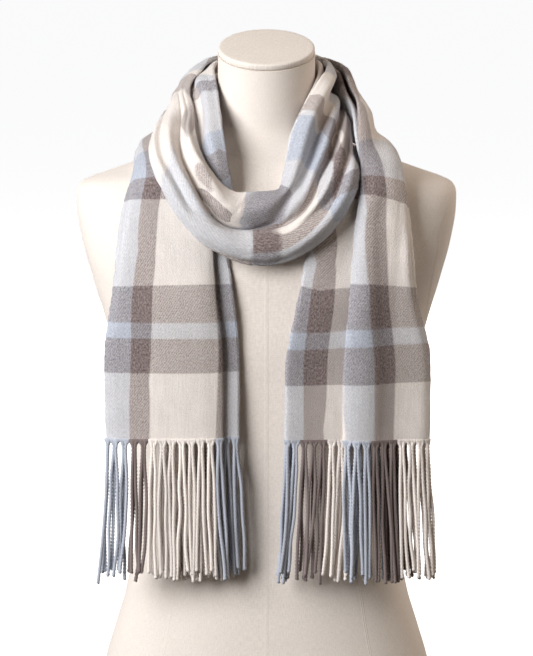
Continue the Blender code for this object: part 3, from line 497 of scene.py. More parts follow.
# ---- shaders as expressions -----------------------------------------------------------
class Wire:
    """A number that varies over a surface; an operator on it adds a Math node."""

    def __init__(self, look, socket):
        self.look = look
        self.socket = socket

    def __add__(self, other):
        return self.look.math("ADD", self, other)

    __radd__ = __add__

    def __mul__(self, other):
        return self.look.math("MULTIPLY", self, other)

    __rmul__ = __mul__

    def __sub__(self, other):
        return self.look.math("SUBTRACT", self, other)

    def __rsub__(self, other):
        return self.look.math("SUBTRACT", other, self)

    def __truediv__(self, other):
        return self.look.math("DIVIDE", self, other)

    def __abs__(self):
        return self.look.math("ABSOLUTE", self)

    def fraction(self):
        return self.look.math("FRACT", self)


class Look:
    """A material and the nodes that make it."""

    def __init__(self, name, roughness=0.9):
        self.material = bpy.data.materials.new(name)
        self.material.use_nodes = True
        self.tree = self.material.node_tree
        self.shader = self.tree.nodes["Principled BSDF"]
        self.set(Roughness=roughness)

    def node(self, kind, settings=None, inputs=None, output=0):
        """Adds a node, gives it its settings and inputs, and returns one of its outputs."""
        node = self.tree.nodes.new(kind)
        for key, value in (settings or {}).items():
            if key == "stops":
                self.stops(node.color_ramp, value)
            else:
                setattr(node, key, value)
        for key, value in (inputs or {}).items():
            self.feed(node.inputs[key], value)
        return Wire(self, node.outputs[output])

    @staticmethod
    def stops(ramp, stops):
        while len(ramp.elements) < len(stops):
            ramp.elements.new(1.0)
        for element, (place, colour) in zip(ramp.elements, stops):
            element.position = place
            element.color = (*colour, 1)

    def feed(self, socket, value):
        if isinstance(value, Wire):
            self.tree.links.new(value.socket, socket)
        else:
            socket.default_value = value

    def math(self, operation, *values):
        return self.node("ShaderNodeMath", {"operation": operation}, dict(enumerate(values)))

    def mix(self, share, first, second, kind="MIX"):
        """Mixes two colours."""
        return self.node(
            "ShaderNodeMix", {"data_type": "RGBA", "blend_type": kind},
            {0: share, 6: first, 7: second}, output=2,
        )

    def power(self, colour, exponent):
        return self.node("ShaderNodeGamma", {}, {"Color": colour, "Gamma": exponent})

    def step(self, value, low, high):
        """0 below low and 1 above high, with a smooth rise between them."""
        return self.node(
            "ShaderNodeMapRange", {"interpolation_type": "SMOOTHSTEP"},
            {"Value": value, "From Min": low, "From Max": high},
        )

    def noise(self, place, scale, detail=2.0, roughness=0.5):
        return self.node(
            "ShaderNodeTexNoise", {}, {
                "Vector": place, "Scale": scale, "Detail": detail, "Roughness": roughness,
            },
        )

    def stretched(self, place, scale):
        """The place with each of its parts scaled."""
        return self.node("ShaderNodeVectorMath", {"operation": "MULTIPLY"}, {0: place, 1: scale})

    def bump(self, height, distance, strength=1.0):
        inputs = {"Height": height, "Distance": distance, "Strength": strength}
        return self.node("ShaderNodeBump", {}, inputs)

    def map(self, name):
        """A UV map's own coordinates."""
        return self.node("ShaderNodeUVMap", {"uv_map": name})

    def parts(self, vector):
        split = self.node("ShaderNodeSeparateXYZ", {}, {0: vector})
        node = split.socket.node
        return Wire(self, node.outputs[0]), Wire(self, node.outputs[1])

    def set(self, **sockets):
        for name, value in sockets.items():
            self.feed(self.shader.inputs[name.replace("_", " ")], value)


def band_stops(bands, colours, total):
    """Colour stops for a row of bands, with a narrow blur between them."""
    stops, edge = [], 0.0
    for width, yarn in bands:
        stops.append(((edge + BAND_BLUR / 2) / total, colours[yarn]))
        edge += width
        stops.append(((edge - BAND_BLUR / 2) / total, colours[yarn]))
    return stops


def yarn_colours():
    scarf = bpy.context.scene.scarf_settings
    return {"blue": scarf.blue, "brown": scarf.brown, "cream": scarf.cream}


def plaid_look():
    """Brushed wool twill in plaid: two yarns cross, and a soft nap lies over them."""
    scarf = bpy.context.scene.scarf_settings
    look = Look("plaid_wool")
    colours = yarn_colours()
    across, along = look.parts(look.map("plaid"))
    warp = look.node(
        "ShaderNodeValToRGB", {"stops": band_stops(WARP, colours, SCARF_WIDTH)},
        {0: across / (SCARF_WIDTH * MM)},
    )
    repeat = sum(width for width, _ in WEFT)
    weft = look.node(
        "ShaderNodeValToRGB", {"stops": band_stops(WEFT, colours, repeat)},
        {0: (along / (repeat * MM)).fraction()},
    )
    cloth = look.map("cloth")
    over, up = look.parts(cloth)
    wander = look.noise(look.stretched(cloth, (350, 300, 1)), 1.0, 2) - 0.5
    rib = (over / (3 * scarf.thread) - up / (4.2 * scarf.thread) + 0.9 * wander).fraction()
    rib = abs(2 * rib - 1)
    specks = look.noise(look.stretched(cloth, (820, 640, 1)), 1.0, 2, 0.6)
    on_top = look.step(0.45 * rib + 1.5 * (specks - 0.5) + 0.28, 0.25, 0.75)
    blend = look.mix(1.0, look.power(warp, WARP_SHARE), look.power(weft, 1 - WARP_SHARE), "MULTIPLY")
    wool = look.mix(TWILL_CONTRAST, blend, look.mix(on_top, weft, warp))
    ends = look.noise(look.stretched(cloth, (850, 22, 1)), 1.0, 2, 0.6)
    patches = look.noise(look.stretched(cloth, (70, 48, 1)), 1.0, 3, 0.55)
    nap = look.noise(look.stretched(cloth, (420, 300, 1)), 1.0, 3, 0.6)
    shade = 1 + scarf.nap * (0.34 * (specks - 0.5) + 0.3 * (ends - 0.5))
    shade = shade + scarf.nap * (0.16 * (nap - 0.5) + 0.16 * (patches - 0.5))
    tone = look.node("ShaderNodeCombineColor", {}, {0: shade, 1: shade, 2: shade})
    red = look.node("ShaderNodeSeparateColor", {}, {0: wool})
    fuzz = look.noise(look.stretched(cloth, (560, 330, 1)), 1.0, 2, 0.7) - 0.5
    fuzz = fuzz * scarf.nap * (FUZZ_ON_DARK - FUZZ_FADE * (red * red * red))
    fibres = look.node("ShaderNodeCombineColor", {}, {0: fuzz, 1: 0.96 * fuzz, 2: 0.94 * fuzz})
    wool = look.mix(1.0, look.mix(1.0, wool, tone, "MULTIPLY"), fibres, "ADD")
    look.set(Base_Color=wool)
    look.set(Roughness=0.86 + 0.1 * specks)
    height = on_top * 0.4 + specks * 0.6 + nap * 0.8
    look.set(Normal=look.bump(height, 0.0009, 0.75))
    look.set(Sheen_Weight=0.25, Sheen_Roughness=0.45, Specular_IOR_Level=0.15)
    return look.material


# How much of a crossing's colour is the warp's, and how clearly its two yarns show apart.
WARP_SHARE = 0.58
TWILL_CONTRAST = 0.34
# How clearly pale fibres show over dark yarn, and how much less they do over pale yarn.
FUZZ_ON_DARK = 0.64
FUZZ_FADE = 0.85


def fringe_look():
    """Twisted yarn in the colours of the warp."""
    look = Look("fringe_wool")
    across, along = look.parts(look.map("plaid"))
    yarn = look.node(
        "ShaderNodeValToRGB", {"stops": band_stops(WARP, yarn_colours(), SCARF_WIDTH)},
        {0: across / (SCARF_WIDTH * MM)},
    )
    place = look.node("ShaderNodeTexCoord", output=3)
    fibres = look.noise(look.stretched(place, (1600, 1600, 700)), 1.0, 3, 0.6)
    shade = 0.72 + 0.3 * fibres + 0.24 * along
    tone = look.node("ShaderNodeCombineColor", {}, {0: shade, 1: shade, 2: shade})
    look.set(Base_Color=look.mix(1.0, yarn, tone, "MULTIPLY"))
    look.set(Roughness=0.84 + 0.1 * fibres)
    look.set(Normal=look.bump(fibres, 0.0003, 0.6))
    look.set(Sheen_Weight=0.2, Sheen_Roughness=0.5, Specular_IOR_Level=0.15)
    return look.material


def linen_look(name):
    """Plain linen with uneven threads both ways."""
    form = bpy.context.scene.form_settings
    look = Look(name)
    cloth = look.map("linen")
    level = look.noise(look.stretched(cloth, (230, 900, 1)), 1.0, 2, 0.6)
    upright = look.noise(look.stretched(cloth, (900, 150, 1)), 1.0, 2, 0.6)
    patches = look.noise(look.stretched(cloth, (26, 26, 1)), 1.0, 3, 0.5)
    shade = 0.69 + 0.24 * level + 0.30 * upright + 0.08 * patches
    tone = look.node("ShaderNodeCombineColor", {}, {0: shade, 1: shade, 2: shade})
    look.set(Base_Color=look.mix(1.0, (*form.linen, 1), tone, "MULTIPLY"))
    look.set(Roughness=0.8 + 0.12 * level)
    look.set(Normal=look.bump(level + upright, 0.0004, 0.45))
    look.set(Sheen_Weight=0.08, Sheen_Roughness=0.5, Specular_IOR_Level=0.2)
    return look.material


def floor_look():
    stage = bpy.context.scene.stage_settings
    look = Look("studio_floor")
    place = look.node("ShaderNodeTexCoord", output=3)
    grain = look.noise(look.stretched(place, (3, 3, 3)), 1.0, 2)
    shade = 0.985 + 0.03 * grain
    tone = look.node("ShaderNodeCombineColor", {}, {0: shade, 1: shade, 2: shade})
    look.set(Base_Color=look.mix(1.0, (*stage.floor, 1), tone, "MULTIPLY"), Roughness=0.95)
    look.set(Emission_Color=(0.965, 0.98, 1.0, 1), Emission_Strength=0.94)
    return look.material


# ---- curves through rows of numbers -------------------------------------------------
def natural_spline(knots, values, at):
    """A smooth curve through the values, with no bend at its two ends."""
    knots, values, at = (np.asarray(a, float) for a in (knots, values, at))
    step = np.diff(knots)
    slope = np.diff(values, axis=0) / step[:, None]
    system = np.eye(len(knots))
    right = np.zeros_like(values)
    for i in range(1, len(knots) - 1):
        system[i, i - 1 : i + 2] = step[i - 1], 2 * (step[i - 1] + step[i]), step[i]
        right[i] = 6 * (slope[i] - slope[i - 1])
    bend = np.linalg.solve(system, right)
    i = np.clip(np.searchsorted(knots, at) - 1, 0, len(step) - 1)
    width = step[i][:, None]
    after = ((at - knots[i])[:, None]) / width
    before = 1 - after
    straight = before * values[i] + after * values[i + 1]
    curved = (before**3 - before) * bend[i] + (after**3 - after) * bend[i + 1]
    return straight + curved * width**2 / 6


def steady_curve(knots, values, at):
    """A smooth curve through the values that never overshoots them."""
    knots, values, at = (np.asarray(a, float) for a in (knots, values, at))
    step = np.diff(knots)[:, None]
    slope = np.diff(values, axis=0) / step
    product = slope[:-1] * slope[1:]
    mean = 2 * product / np.where(product > 0, slope[:-1] + slope[1:], 1)
    tangent = np.zeros_like(values)
    tangent[1:-1] = np.where(product > 0, mean, 0)
    i = np.clip(np.searchsorted(knots, at) - 1, 0, len(step) - 1)
    t = ((at - knots[i])[:, None]) / step[i]
    return (
        (2 * t**3 - 3 * t**2 + 1) * values[i]
        + (t**3 - 2 * t**2 + t) * step[i] * tangent[i]
        + (3 * t**2 - 2 * t**3) * values[i + 1]
        + (t**3 - t**2) * step[i] * tangent[i + 1]
    )


def unit(vectors):
    return vectors / np.linalg.norm(vectors, axis=-1, keepdims=True)


def ripple(points, size, seed):
    """Smooth waves of about one size, mostly between -1 and 1 and the same each time."""
    draw = np.random.default_rng(seed)
    total = np.zeros(points.shape[:-1])
    for _ in range(7):
        way = unit(draw.normal(size=points.shape[-1])) * draw.uniform(0.7, 1.35)
        total += np.sin(points @ way * 2 * math.pi / size + draw.uniform(0, 2 * math.pi))
    return total / 3.2


# ---- the cloth as a ribbon ----------------------------------------------------------
FINE = np.linspace(-SCARF_WIDTH / 2, SCARF_WIDTH / 2, 601)
TURN_REACH = 3.6
TURN_HALF_GAP = 2.3
CURVE_STEPS = 14


def with_rounded_turns(points):
    """Adds a point before and after each turn, so that the cloth goes round it."""
    columns = []
    for i, name in enumerate(Section._fields[:-1]):
        here = points[:, i]
        if name not in TURNS:
            columns.append(here)
            continue
        before, after = points[:, i - 1], points[:, i + 1]
        back = unit((before + after) / 2 - here)
        side = np.stack([-back[:, 1], back[:, 0]], axis=1)
        side *= np.sign(((before - after) * side).sum(1, keepdims=True))
        room = np.minimum(
            np.linalg.norm(before - here, axis=1), np.linalg.norm(after - here, axis=1)
        )
        size = np.clip(room / 10, 0.02, 1)[:, None]
        columns.append(here + size * (TURN_REACH * back + TURN_HALF_GAP * side))
        columns.append(here)
        columns.append(here + size * (TURN_REACH * back - TURN_HALF_GAP * side))
    return np.stack(columns, axis=1)


def smooth_lines(points):
    """Centripetal Catmull-Rom curves through rows of points in a plane."""
    first = 2 * points[:, :1] - points[:, 1:2]
    last = 2 * points[:, -1:] - points[:, -2:-1]
    points = np.concatenate([first, points, last], axis=1)
    p0, p1, p2, p3 = (points[:, i : points.shape[1] - 3 + i, None] for i in range(4))
    t1 = np.linalg.norm(p1 - p0, axis=-1, keepdims=True) ** 0.5 + 1e-6
    t2 = t1 + np.linalg.norm(p2 - p1, axis=-1, keepdims=True) ** 0.5 + 1e-6
    t3 = t2 + np.linalg.norm(p3 - p2, axis=-1, keepdims=True) ** 0.5 + 1e-6
    t = t1 + (t2 - t1) * np.linspace(0, 1, CURVE_STEPS, endpoint=False)[None, None, :, None]
    a1 = ((t1 - t) * p0 + t * p1) / t1
    a2 = ((t2 - t) * p1 + (t - t1) * p2) / (t2 - t1)
    a3 = ((t3 - t) * p2 + (t - t2) * p3) / (t3 - t2)
    b1 = ((t2 - t) * a1 + t * a2) / t2
    b2 = ((t3 - t) * a2 + (t - t1) * a3) / (t3 - t1)
    line = (((t2 - t) * b1 + (t - t1) * b2) / (t2 - t1)).reshape(len(points), -1, 2)
    return np.concatenate([line, points[:, -2:-1]], axis=1)


def softened(need):
    """A smooth table that is nowhere less than the one given."""

    def shifted(table, axis):
        pad = [(1, 1) if i == axis else (0, 0) for i in range(2)]
        wide = np.pad(table, pad, "edge")
        ends = (slice(None, -2), slice(2, None))
        return [wide[end] if axis == 0 else wide[:, end] for end in ends]

    for axis in (0, 0, 1):
        need = np.maximum(need, np.maximum(*shifted(need, axis)))
    for axis in (0, 1, 0):
        need = (sum(shifted(need, axis)) + 2 * need) / 4
    return need


def shared_out(turn, places, count, evenness):
    """Places spread so that each step between them has a like share of the turning."""
    effort = turn / turn.sum() + evenness / len(turn)
    total = np.concatenate([[0], np.cumsum(effort)])
    middles = np.linspace(places[0], places[-1], len(total))
    return np.interp(np.linspace(0, total[-1], count), total, middles)


def grid_tree(points):
    """A search tree, in metres, of a grid of points in millimetres."""
    rows, columns = points.shape[:2]
    faces = [
        (r * columns + c, (r + 1) * columns + c, (r + 1) * columns + c + 1, r * columns + c + 1)
        for r in range(rows - 1)
        for c in range(columns - 1)
    ]
    return BVHTree.FromPolygons([Vector(p) * MM for p in points.reshape(-1, 3)], faces)


def tree_of(thing):
    """A search tree of an object's faces, in metres."""
    mesh = thing.data
    return BVHTree.FromPolygons(
        [v.co for v in mesh.vertices], [tuple(p.vertices) for p in mesh.polygons]
    )


class Ribbon:
    """The scarf's middle surface, by distance along the ribbon and across it."""

    def __init__(self):
        centres = np.array([(s.x, s.y, s.z) for s in STATIONS], float)
        hops = np.linalg.norm(np.diff(centres, axis=0), axis=1)
        self.knots = np.concatenate([[0], np.cumsum(hops)])
        self.centres = centres
        self.across = unit(np.array([(s.to_x, s.to_y, s.to_z) for s in STATIONS], float))
        self.folds = np.array([SECTIONS[s.section] for s in STATIONS], float)
        self.at = {s.name: knot for s, knot in zip(STATIONS, self.knots)}
        self.lift = None

    def frames(self, along):
        """Centre, way across and way outwards at each distance along the ribbon."""
        centre = natural_spline(self.knots, self.centres, along)
        ahead = natural_spline(self.knots, self.centres, along + 0.5)
        behind = natural_spline(self.knots, self.centres, along - 0.5)
        travel = unit(ahead - behind)
        across = natural_spline(self.knots, self.across, along)
        across = unit(across - (across * travel).sum(1, keepdims=True) * travel)
        return centre, across, np.cross(across, travel)

    def sections(self, along, places):
        """The folded cloth in its own plane, at places across its width."""
        flat = self.folds.reshape(len(self.folds), -1)
        folds = steady_curve(self.knots, flat, along).reshape(len(along), -1, 2)
        turned_at = folds[:, -1]
        lines = smooth_lines(with_rounded_turns(folds[:, :-1]))
        outer_turn = CURVE_STEPS * (Section._fields.index("outer_turn") + 1)
        turn_1 = CURVE_STEPS * (Section._fields.index("turn_1") + 3)
        half = SCARF_WIDTH / 2
        found = []
        for line, (outer_at, first_at) in zip(lines, turned_at):
            run = np.concatenate([[0], np.cumsum(np.linalg.norm(np.diff(line, axis=0), axis=1))])
            where = np.interp(
                places, [-half, outer_at, first_at, half], [0, run[outer_turn], run[turn_1], run[-1]]
            )
            found.append([np.interp(where, run, line[:, 0]), np.interp(where, run, line[:, 1])])
        return np.array(found).transpose(0, 2, 1)

    def columns(self, along, count, evenness):
        """Places across the cloth, closer together where it bends sharply."""
        travel = np.diff(self.sections(along, FINE), axis=1)
        heading = np.unwrap(np.arctan2(travel[..., 1], travel[..., 0]), axis=1)
        turn = np.abs(np.diff(heading, axis=1)).mean(axis=0)
        return shared_out(turn, FINE, count, evenness)

    def surface(self, along, places):
        """Points of the middle surface, a row for each distance along the ribbon."""
        centre, across, outwards = self.frames(along)
        plane = self.sections(along, places)
        lift = self.lift_at(along, plane[..., 0])
        return (
            centre[:, None]
            + plane[..., :1] * across[:, None]
            + (plane[..., 1:] + lift[..., None]) * outwards[:, None]
        )

    def lift_at(self, along, towards_neck):
        """How far the cloth is lifted by what lies under it."""
        if self.lift is None:
            return np.zeros_like(towards_neck)
        row = np.clip(along / LAY_ROW, 0, len(self.lift) - 1.001)[:, None]
        column = (towards_neck + LAY_REACH) / LAY_COLUMN
        column = np.clip(column, 0, self.lift.shape[1] - 1.001)
        r, c = row.astype(int), column.astype(int)
        u, v = row - r, column - c
        near = (1 - v) * self.lift[r, c] + v * self.lift[r, c + 1]
        far = (1 - v) * self.lift[r + 1, c] + v * self.lift[r + 1, c + 1]
        return (1 - u) * near + u * far

    def lay(self, form_tree):
        """Lifts each layer clear of the form and of the layers laid before it."""
        rows = np.arange(0, self.knots[-1] + LAY_ROW, LAY_ROW)
        columns = np.arange(-LAY_REACH, LAY_REACH + 1, LAY_COLUMN)
        need = np.zeros((len(rows), len(columns)))
        laid = {}
        for layer in LAYERS:
            start, end = self.at[layer.start], self.at[layer.end]
            places = FINE[(FINE >= layer.first_place) & (FINE <= layer.last_place)]
            here = np.flatnonzero((rows > start + LAY_ROW) & (rows <= end))
            centre, across, outwards = self.frames(rows[here])
            plane = self.sections(rows[here], places)
            under = [(form_tree, FORM_CLEARANCE)] + [laid[name] for name in layer.over]
            for i, row in enumerate(here):
                for j, column in enumerate(columns):
                    close = np.abs(plane[i, :, 0] - column) < LAY_COLUMN / 2
                    if not close.any():
                        continue
                    lowest = plane[i, close, 1].min() - CLOTH_THICKNESS / 2
                    begin = centre[i] + column * across[i] + LAY_START * outwards[i]
                    for tree, gap in under:
                        far = tree.ray_cast(
                            Vector(begin) * MM, Vector(-outwards[i]), 2 * LAY_START * MM
                        )[3]
                        if far is not None:
                            height = LAY_START - far / MM + gap - lowest
                            need[row, j] = max(need[row, j], height)
            self.lift = softened(need)
            sheet = self.surface(np.arange(start, end, LAY_ROW / 2), places[::3])
            laid[layer.name] = grid_tree(sheet), CLOTH_THICKNESS / 2 + LAYER_GAP


# ---- Blender objects ----------------------------------------------------------------
def solid(name, points, faces, material):
    """An object with its own mesh from points in millimetres, smooth all over."""
    mesh = bpy.data.meshes.new(name)
    mesh.from_pydata(np.asarray(points) * MM, [], faces)
    mesh.materials.append(material)
    mesh.shade_smooth()
    thing = bpy.data.objects.new(name, mesh)
    bpy.context.scene.collection.objects.link(thing)
    return thing


def paint_map(thing, name, places):
    """Gives a mesh a UV map from one place, in metres, for each of its vertices."""
    mesh = thing.data
    layer = mesh.uv_layers.new(name=name)
    corner = np.zeros(len(mesh.loops), int)
    mesh.loops.foreach_get("vertex_index", corner)
    layer.data.foreach_set("uv", np.asarray(places, np.float32)[corner].ravel())


def deselect():
    bpy.ops.object.select_all(action="DESELECT")


def declare(thing, slot, *nodes):
    """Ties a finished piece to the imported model."""
    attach(thing, "root")
    if nodes:
        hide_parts(*nodes)
    return thing


# ---- the dress form -----------------------------------------------------------------
def ring_at(levels):
    """The form's ring sizes at levels from 0, its base, to 1, its neck."""
    table = np.array(FORM_RINGS, float)
    hops = np.hypot(np.diff(table[:, 0]), np.diff(table[:, 1]))
    run = np.concatenate([[0], np.cumsum(hops)])
    return steady_curve(run, table, np.asarray(levels) * run[-1]), np.asarray(levels) * run[-1]


def on_ring(ring, angle):
    """A point of one ring, at an angle round it."""
    height, half_width, front, back, square, lean, tilt = ring
    tilt = math.radians(tilt)
    c, s = math.cos(angle), math.sin(angle)
    x = half_width * math.copysign(abs(c) ** (2 / square), c)
    y = (back if s > 0 else front) * math.copysign(abs(s) ** (2 / square), s)
    return x, y * math.cos(tilt) - lean, height + y * math.sin(tilt)


class SCARF_OT_make_torso(bpy.types.Operator):
    """Extrude a disc ring by ring and shape it into the torso and neck"""

    bl_idname = "scarf.make_torso"
    bl_label = "Dress form"

    def execute(self, context):
        deselect()
        bpy.ops.mesh.primitive_circle_add(vertices=FORM_SIDES, radius=1, fill_type="NGON")
        torso = context.object
        torso.name = torso.data.name = "torso_linen"
        bpy.ops.object.mode_set(mode="EDIT")
        bpy.ops.mesh.select_all(action="SELECT")
        for _ in range(FORM_LEVELS):
            bpy.ops.mesh.extrude_region_move(TRANSFORM_OT_translate={"value": (0, 0, 1)})
        bpy.ops.object.mode_set(mode="OBJECT")
        rings, run = ring_at(np.arange(FORM_LEVELS + 1) / FORM_LEVELS)
        places = []
        for vertex in torso.data.vertices:
            level = round(vertex.co.z)
            angle = math.atan2(vertex.co.y, vertex.co.x)
            vertex.co = Vector(on_ring(rings[level], angle)) * MM
            places.append((angle * 0.17, run[level] * MM))
        bpy.ops.object.mode_set(mode="EDIT")
        bpy.ops.mesh.select_all(action="SELECT")
        bpy.ops.mesh.normals_make_consistent(inside=False)
        bpy.ops.object.mode_set(mode="OBJECT")
        bpy.ops.object.shade_smooth_by_angle(angle=math.radians(40))
        paint_map(torso, "linen", places)
        torso.data.materials.append(linen_look("form_linen"))
        declare(torso, "linen_torso", "form_torso")
        return {"FINISHED"}


class SCARF_OT_make_neck_cap(bpy.types.Operator):
    """Add the padded lid on the neck"""

    bl_idname = "scarf.make_neck_cap"
    bl_label = "Neck cap"

    def execute(self, context):
        deselect()
        top = FORM_RINGS[-1]
        tilt = math.radians(NECK_TILT)
        up = Vector((0, -math.sin(tilt), math.cos(tilt)))
        seat = Vector((0, -top.lean, top.height))
        bpy.ops.mesh.primitive_cylinder_add(
            vertices=FORM_SIDES, radius=CAP_RADIUS * MM, depth=CAP_THICKNESS * MM
        )
        cap = context.object
        cap.name = cap.data.name = "neck_cap_linen"
        bpy.ops.object.mode_set(mode="EDIT")
        bpy.ops.mesh.select_all(action="DESELECT")
        bpy.ops.object.mode_set(mode="OBJECT")
        for face in cap.data.polygons:
            face.select = face.normal.z > 0.9
        bpy.ops.object.mode_set(mode="EDIT")
        for _ in range(7):
            bpy.ops.mesh.inset(thickness=7 * MM)
        bpy.ops.object.mode_set(mode="OBJECT")
        bevel = cap.modifiers.new("rounded_edges", "BEVEL")
        bevel.width = CAP_ROUND * MM
        bevel.segments = 5
        bevel.limit_method = "ANGLE"
        bevel.angle_limit = math.radians(60)
        bpy.ops.object.modifier_apply(modifier=bevel.name)
        for vertex in cap.data.vertices:
            far = math.hypot(vertex.co.x, vertex.co.y) / (CAP_RADIUS * MM)
            if vertex.co.z > 0:
                vertex.co.z += 0.7 * MM * (1 - far**2)
        places = [(v.co.x, v.co.y) for v in cap.data.vertices]
        cap.rotation_euler = (tilt, 0, 0)
        cap.location = (seat + up * (CAP_GAP + CAP_THICKNESS / 2)) * MM
        bpy.ops.object.transform_apply(location=True, rotation=True, scale=True)
        bpy.ops.object.shade_smooth_by_angle(angle=math.radians(40))
        paint_map(cap, "linen", places)
        cap.data.materials.append(linen_look("cap_linen"))
        declare(cap, "linen_cap", "form_neck_cap")
        return {"FINISHED"}


# A seam's cross-section: (place across in mm, height as a share of the seam's height).
SEAM_PROFILE = (
    (-2.4, -0.25), (-1.3, 0.75), (-0.45, 1.0), (0, -0.6), (0.45, 1.0), (1.3, 0.75), (2.4, -0.25),
)
SEAM_STEP = 3.0
SEAM_REACH = 150


class SCARF_OT_make_seams(bpy.types.Operator):
    """Lay the form's sewn seams over the linen"""

    bl_idname = "scarf.make_seams"
    bl_label = "Seams"

    def execute(self, context):
        height = context.scene.form_settings.seam_height / MM
        tree = tree_of(bpy.data.objects["torso_linen"])
        points, faces, places = [], [], []
        for seam in SEAMS:
            table = np.array(seam, float)
            angle = np.unwrap(np.radians(table[:, 0]))
            steps = np.hypot(SEAM_REACH * np.diff(angle), np.diff(table[:, 1]))
            knots = np.concatenate([[0], np.cumsum(steps)])
            at = np.linspace(0, knots[-1], max(8, int(knots[-1] / SEAM_STEP)))
            line = natural_spline(knots, np.stack([angle, table[:, 1]], axis=1), at)
            found = []
            for turn, level in line:
                way = Vector((math.cos(turn), math.sin(turn), 0))
                begin = (way * 400 + Vector((0, 0, level))) * MM
                hit = tree.ray_cast(begin, -way)
                if hit[0] is not None:
                    found.append((np.array(hit[0]) / MM, np.array(hit[1])))
            middle = np.array([f[0] for f in found])
            normal = np.array([f[1] for f in found])
            ahead = unit(np.gradient(middle, axis=0))
            side = unit(np.cross(ahead, normal))
            first = len(points)
            for row in range(len(middle)):
                for over, up in SEAM_PROFILE:
                    points.append(middle[row] + side[row] * over + normal[row] * up * height)
                    places.append((over * MM + 0.3, at[row] * MM))
            width = len(SEAM_PROFILE)
            for row in range(len(middle) - 1):
                for c in range(width - 1):
                    a = first + row * width + c
                    faces.append((a, a + 1, a + width + 1, a + width))
        seams = solid("form_seams", points, faces, bpy.data.materials["form_linen"])
        paint_map(seams, "linen", places)
        declare(seams, "linen_torso")
        return {"FINISHED"}


# ---- the scarf ------------------------------------------------------------------------
def drape(points, normals, along, places):
    """Small uneven waves and the listed creases, as distances along the normals."""
    wave = 0.55 * ripple(points, 70, 3) + 0.28 * ripple(points, 27, 5)
    flat = np.stack(np.meshgrid(along, places, indexing="ij"), axis=-1)
    wave += 0.10 * ripple(flat, 9, 8)
    for crease in CREASES:
        line = np.array(crease.line, float)
        hops = np.linalg.norm(np.diff(line, axis=0), axis=1)
        run = np.concatenate([[0], np.cumsum(hops)])
        nearest = np.full(wave.shape, np.inf)
        share = np.zeros(wave.shape)
        for start, end, hop, before in zip(line, line[1:], hops, run):
            part = np.clip(((flat - start) @ (end - start)) / hop**2, 0, 1)
            far = np.linalg.norm(flat - start - part[..., None] * (end - start), axis=-1)
            share = np.where(far < nearest, (before + part * hop) / run[-1], share)
            nearest = np.minimum(far, nearest)
        taper = np.sin(math.pi * np.clip(share, 0.01, 0.99)) ** 0.5
        wave -= crease.depth * taper * np.exp(-((nearest / crease.half_width) ** 2))
    return points + normals * wave[..., None]


def surface_normals(points):
    """Unit normals of a grid of points, outwards from the form on an unfolded panel."""
    along = np.gradient(points, axis=0)
    across = np.gradient(points, axis=1)
    return unit(np.cross(across, along))


def clear_of_form(points, form_tree, gap):
    """Moves any point that is nearer to the form than gap out to it."""
    moved = points.copy()
    for index in np.ndindex(points.shape[:2]):
        here = Vector(points[index]) * MM
        place, normal, _, far = form_tree.find_nearest(here)
        height = (here - place).dot(normal)
        if height < gap * MM and far < 0.05:
            moved[index] = np.array(here + normal * (gap * MM - height)) / MM
    return moved


def pinned(pins, flat, plain):
    """Values that run through the pins, and fall back to the plain ones away from them."""
    pins = np.array(pins, float)
    stretch = np.array([PIN_ALONG, 1.0])
    at = pins[:, :2] * stretch

    def pull(points):
        far = np.linalg.norm(points[..., None, :] * stretch - at, axis=-1)
        return np.exp(-far / PIN_REACH)

    weights = np.linalg.solve(pull(pins[:, :2]), pins[:, 2] - plain(pins[:, 0], pins[:, 1]))
    rows = [pull(row) @ weights for row in flat]
    return plain(flat[..., 0], flat[..., 1]) + np.array(rows)


def pinned_warp(flat):
    """The warp threads on both sides of the place where the roll turns over."""
    pins = np.array(WARP_PINS)
    before, after = (
        pinned(pins[beside], flat, lambda s, t: t + SCARF_WIDTH / 2)
        for beside in (pins[:, 0] <= ROLL_TURN, pins[:, 0] >= ROLL_TURN)
    )
    return np.where(flat[..., 0] < ROLL_TURN, before, after)


def plaid_places(along, places):
    """Where each point of the cloth lies in the plaid: its warp and its weft thread."""
    flat = np.stack(np.meshgrid(along, places, indexing="ij"), axis=-1)
    run_along, run = np.array(WEFT_RUN, float).T
    across = pinned_warp(flat)
    up = pinned(WEFT_PINS, flat, lambda s, t: np.interp(s, run_along, run))
    return np.stack([across, up], axis=-1) * MM


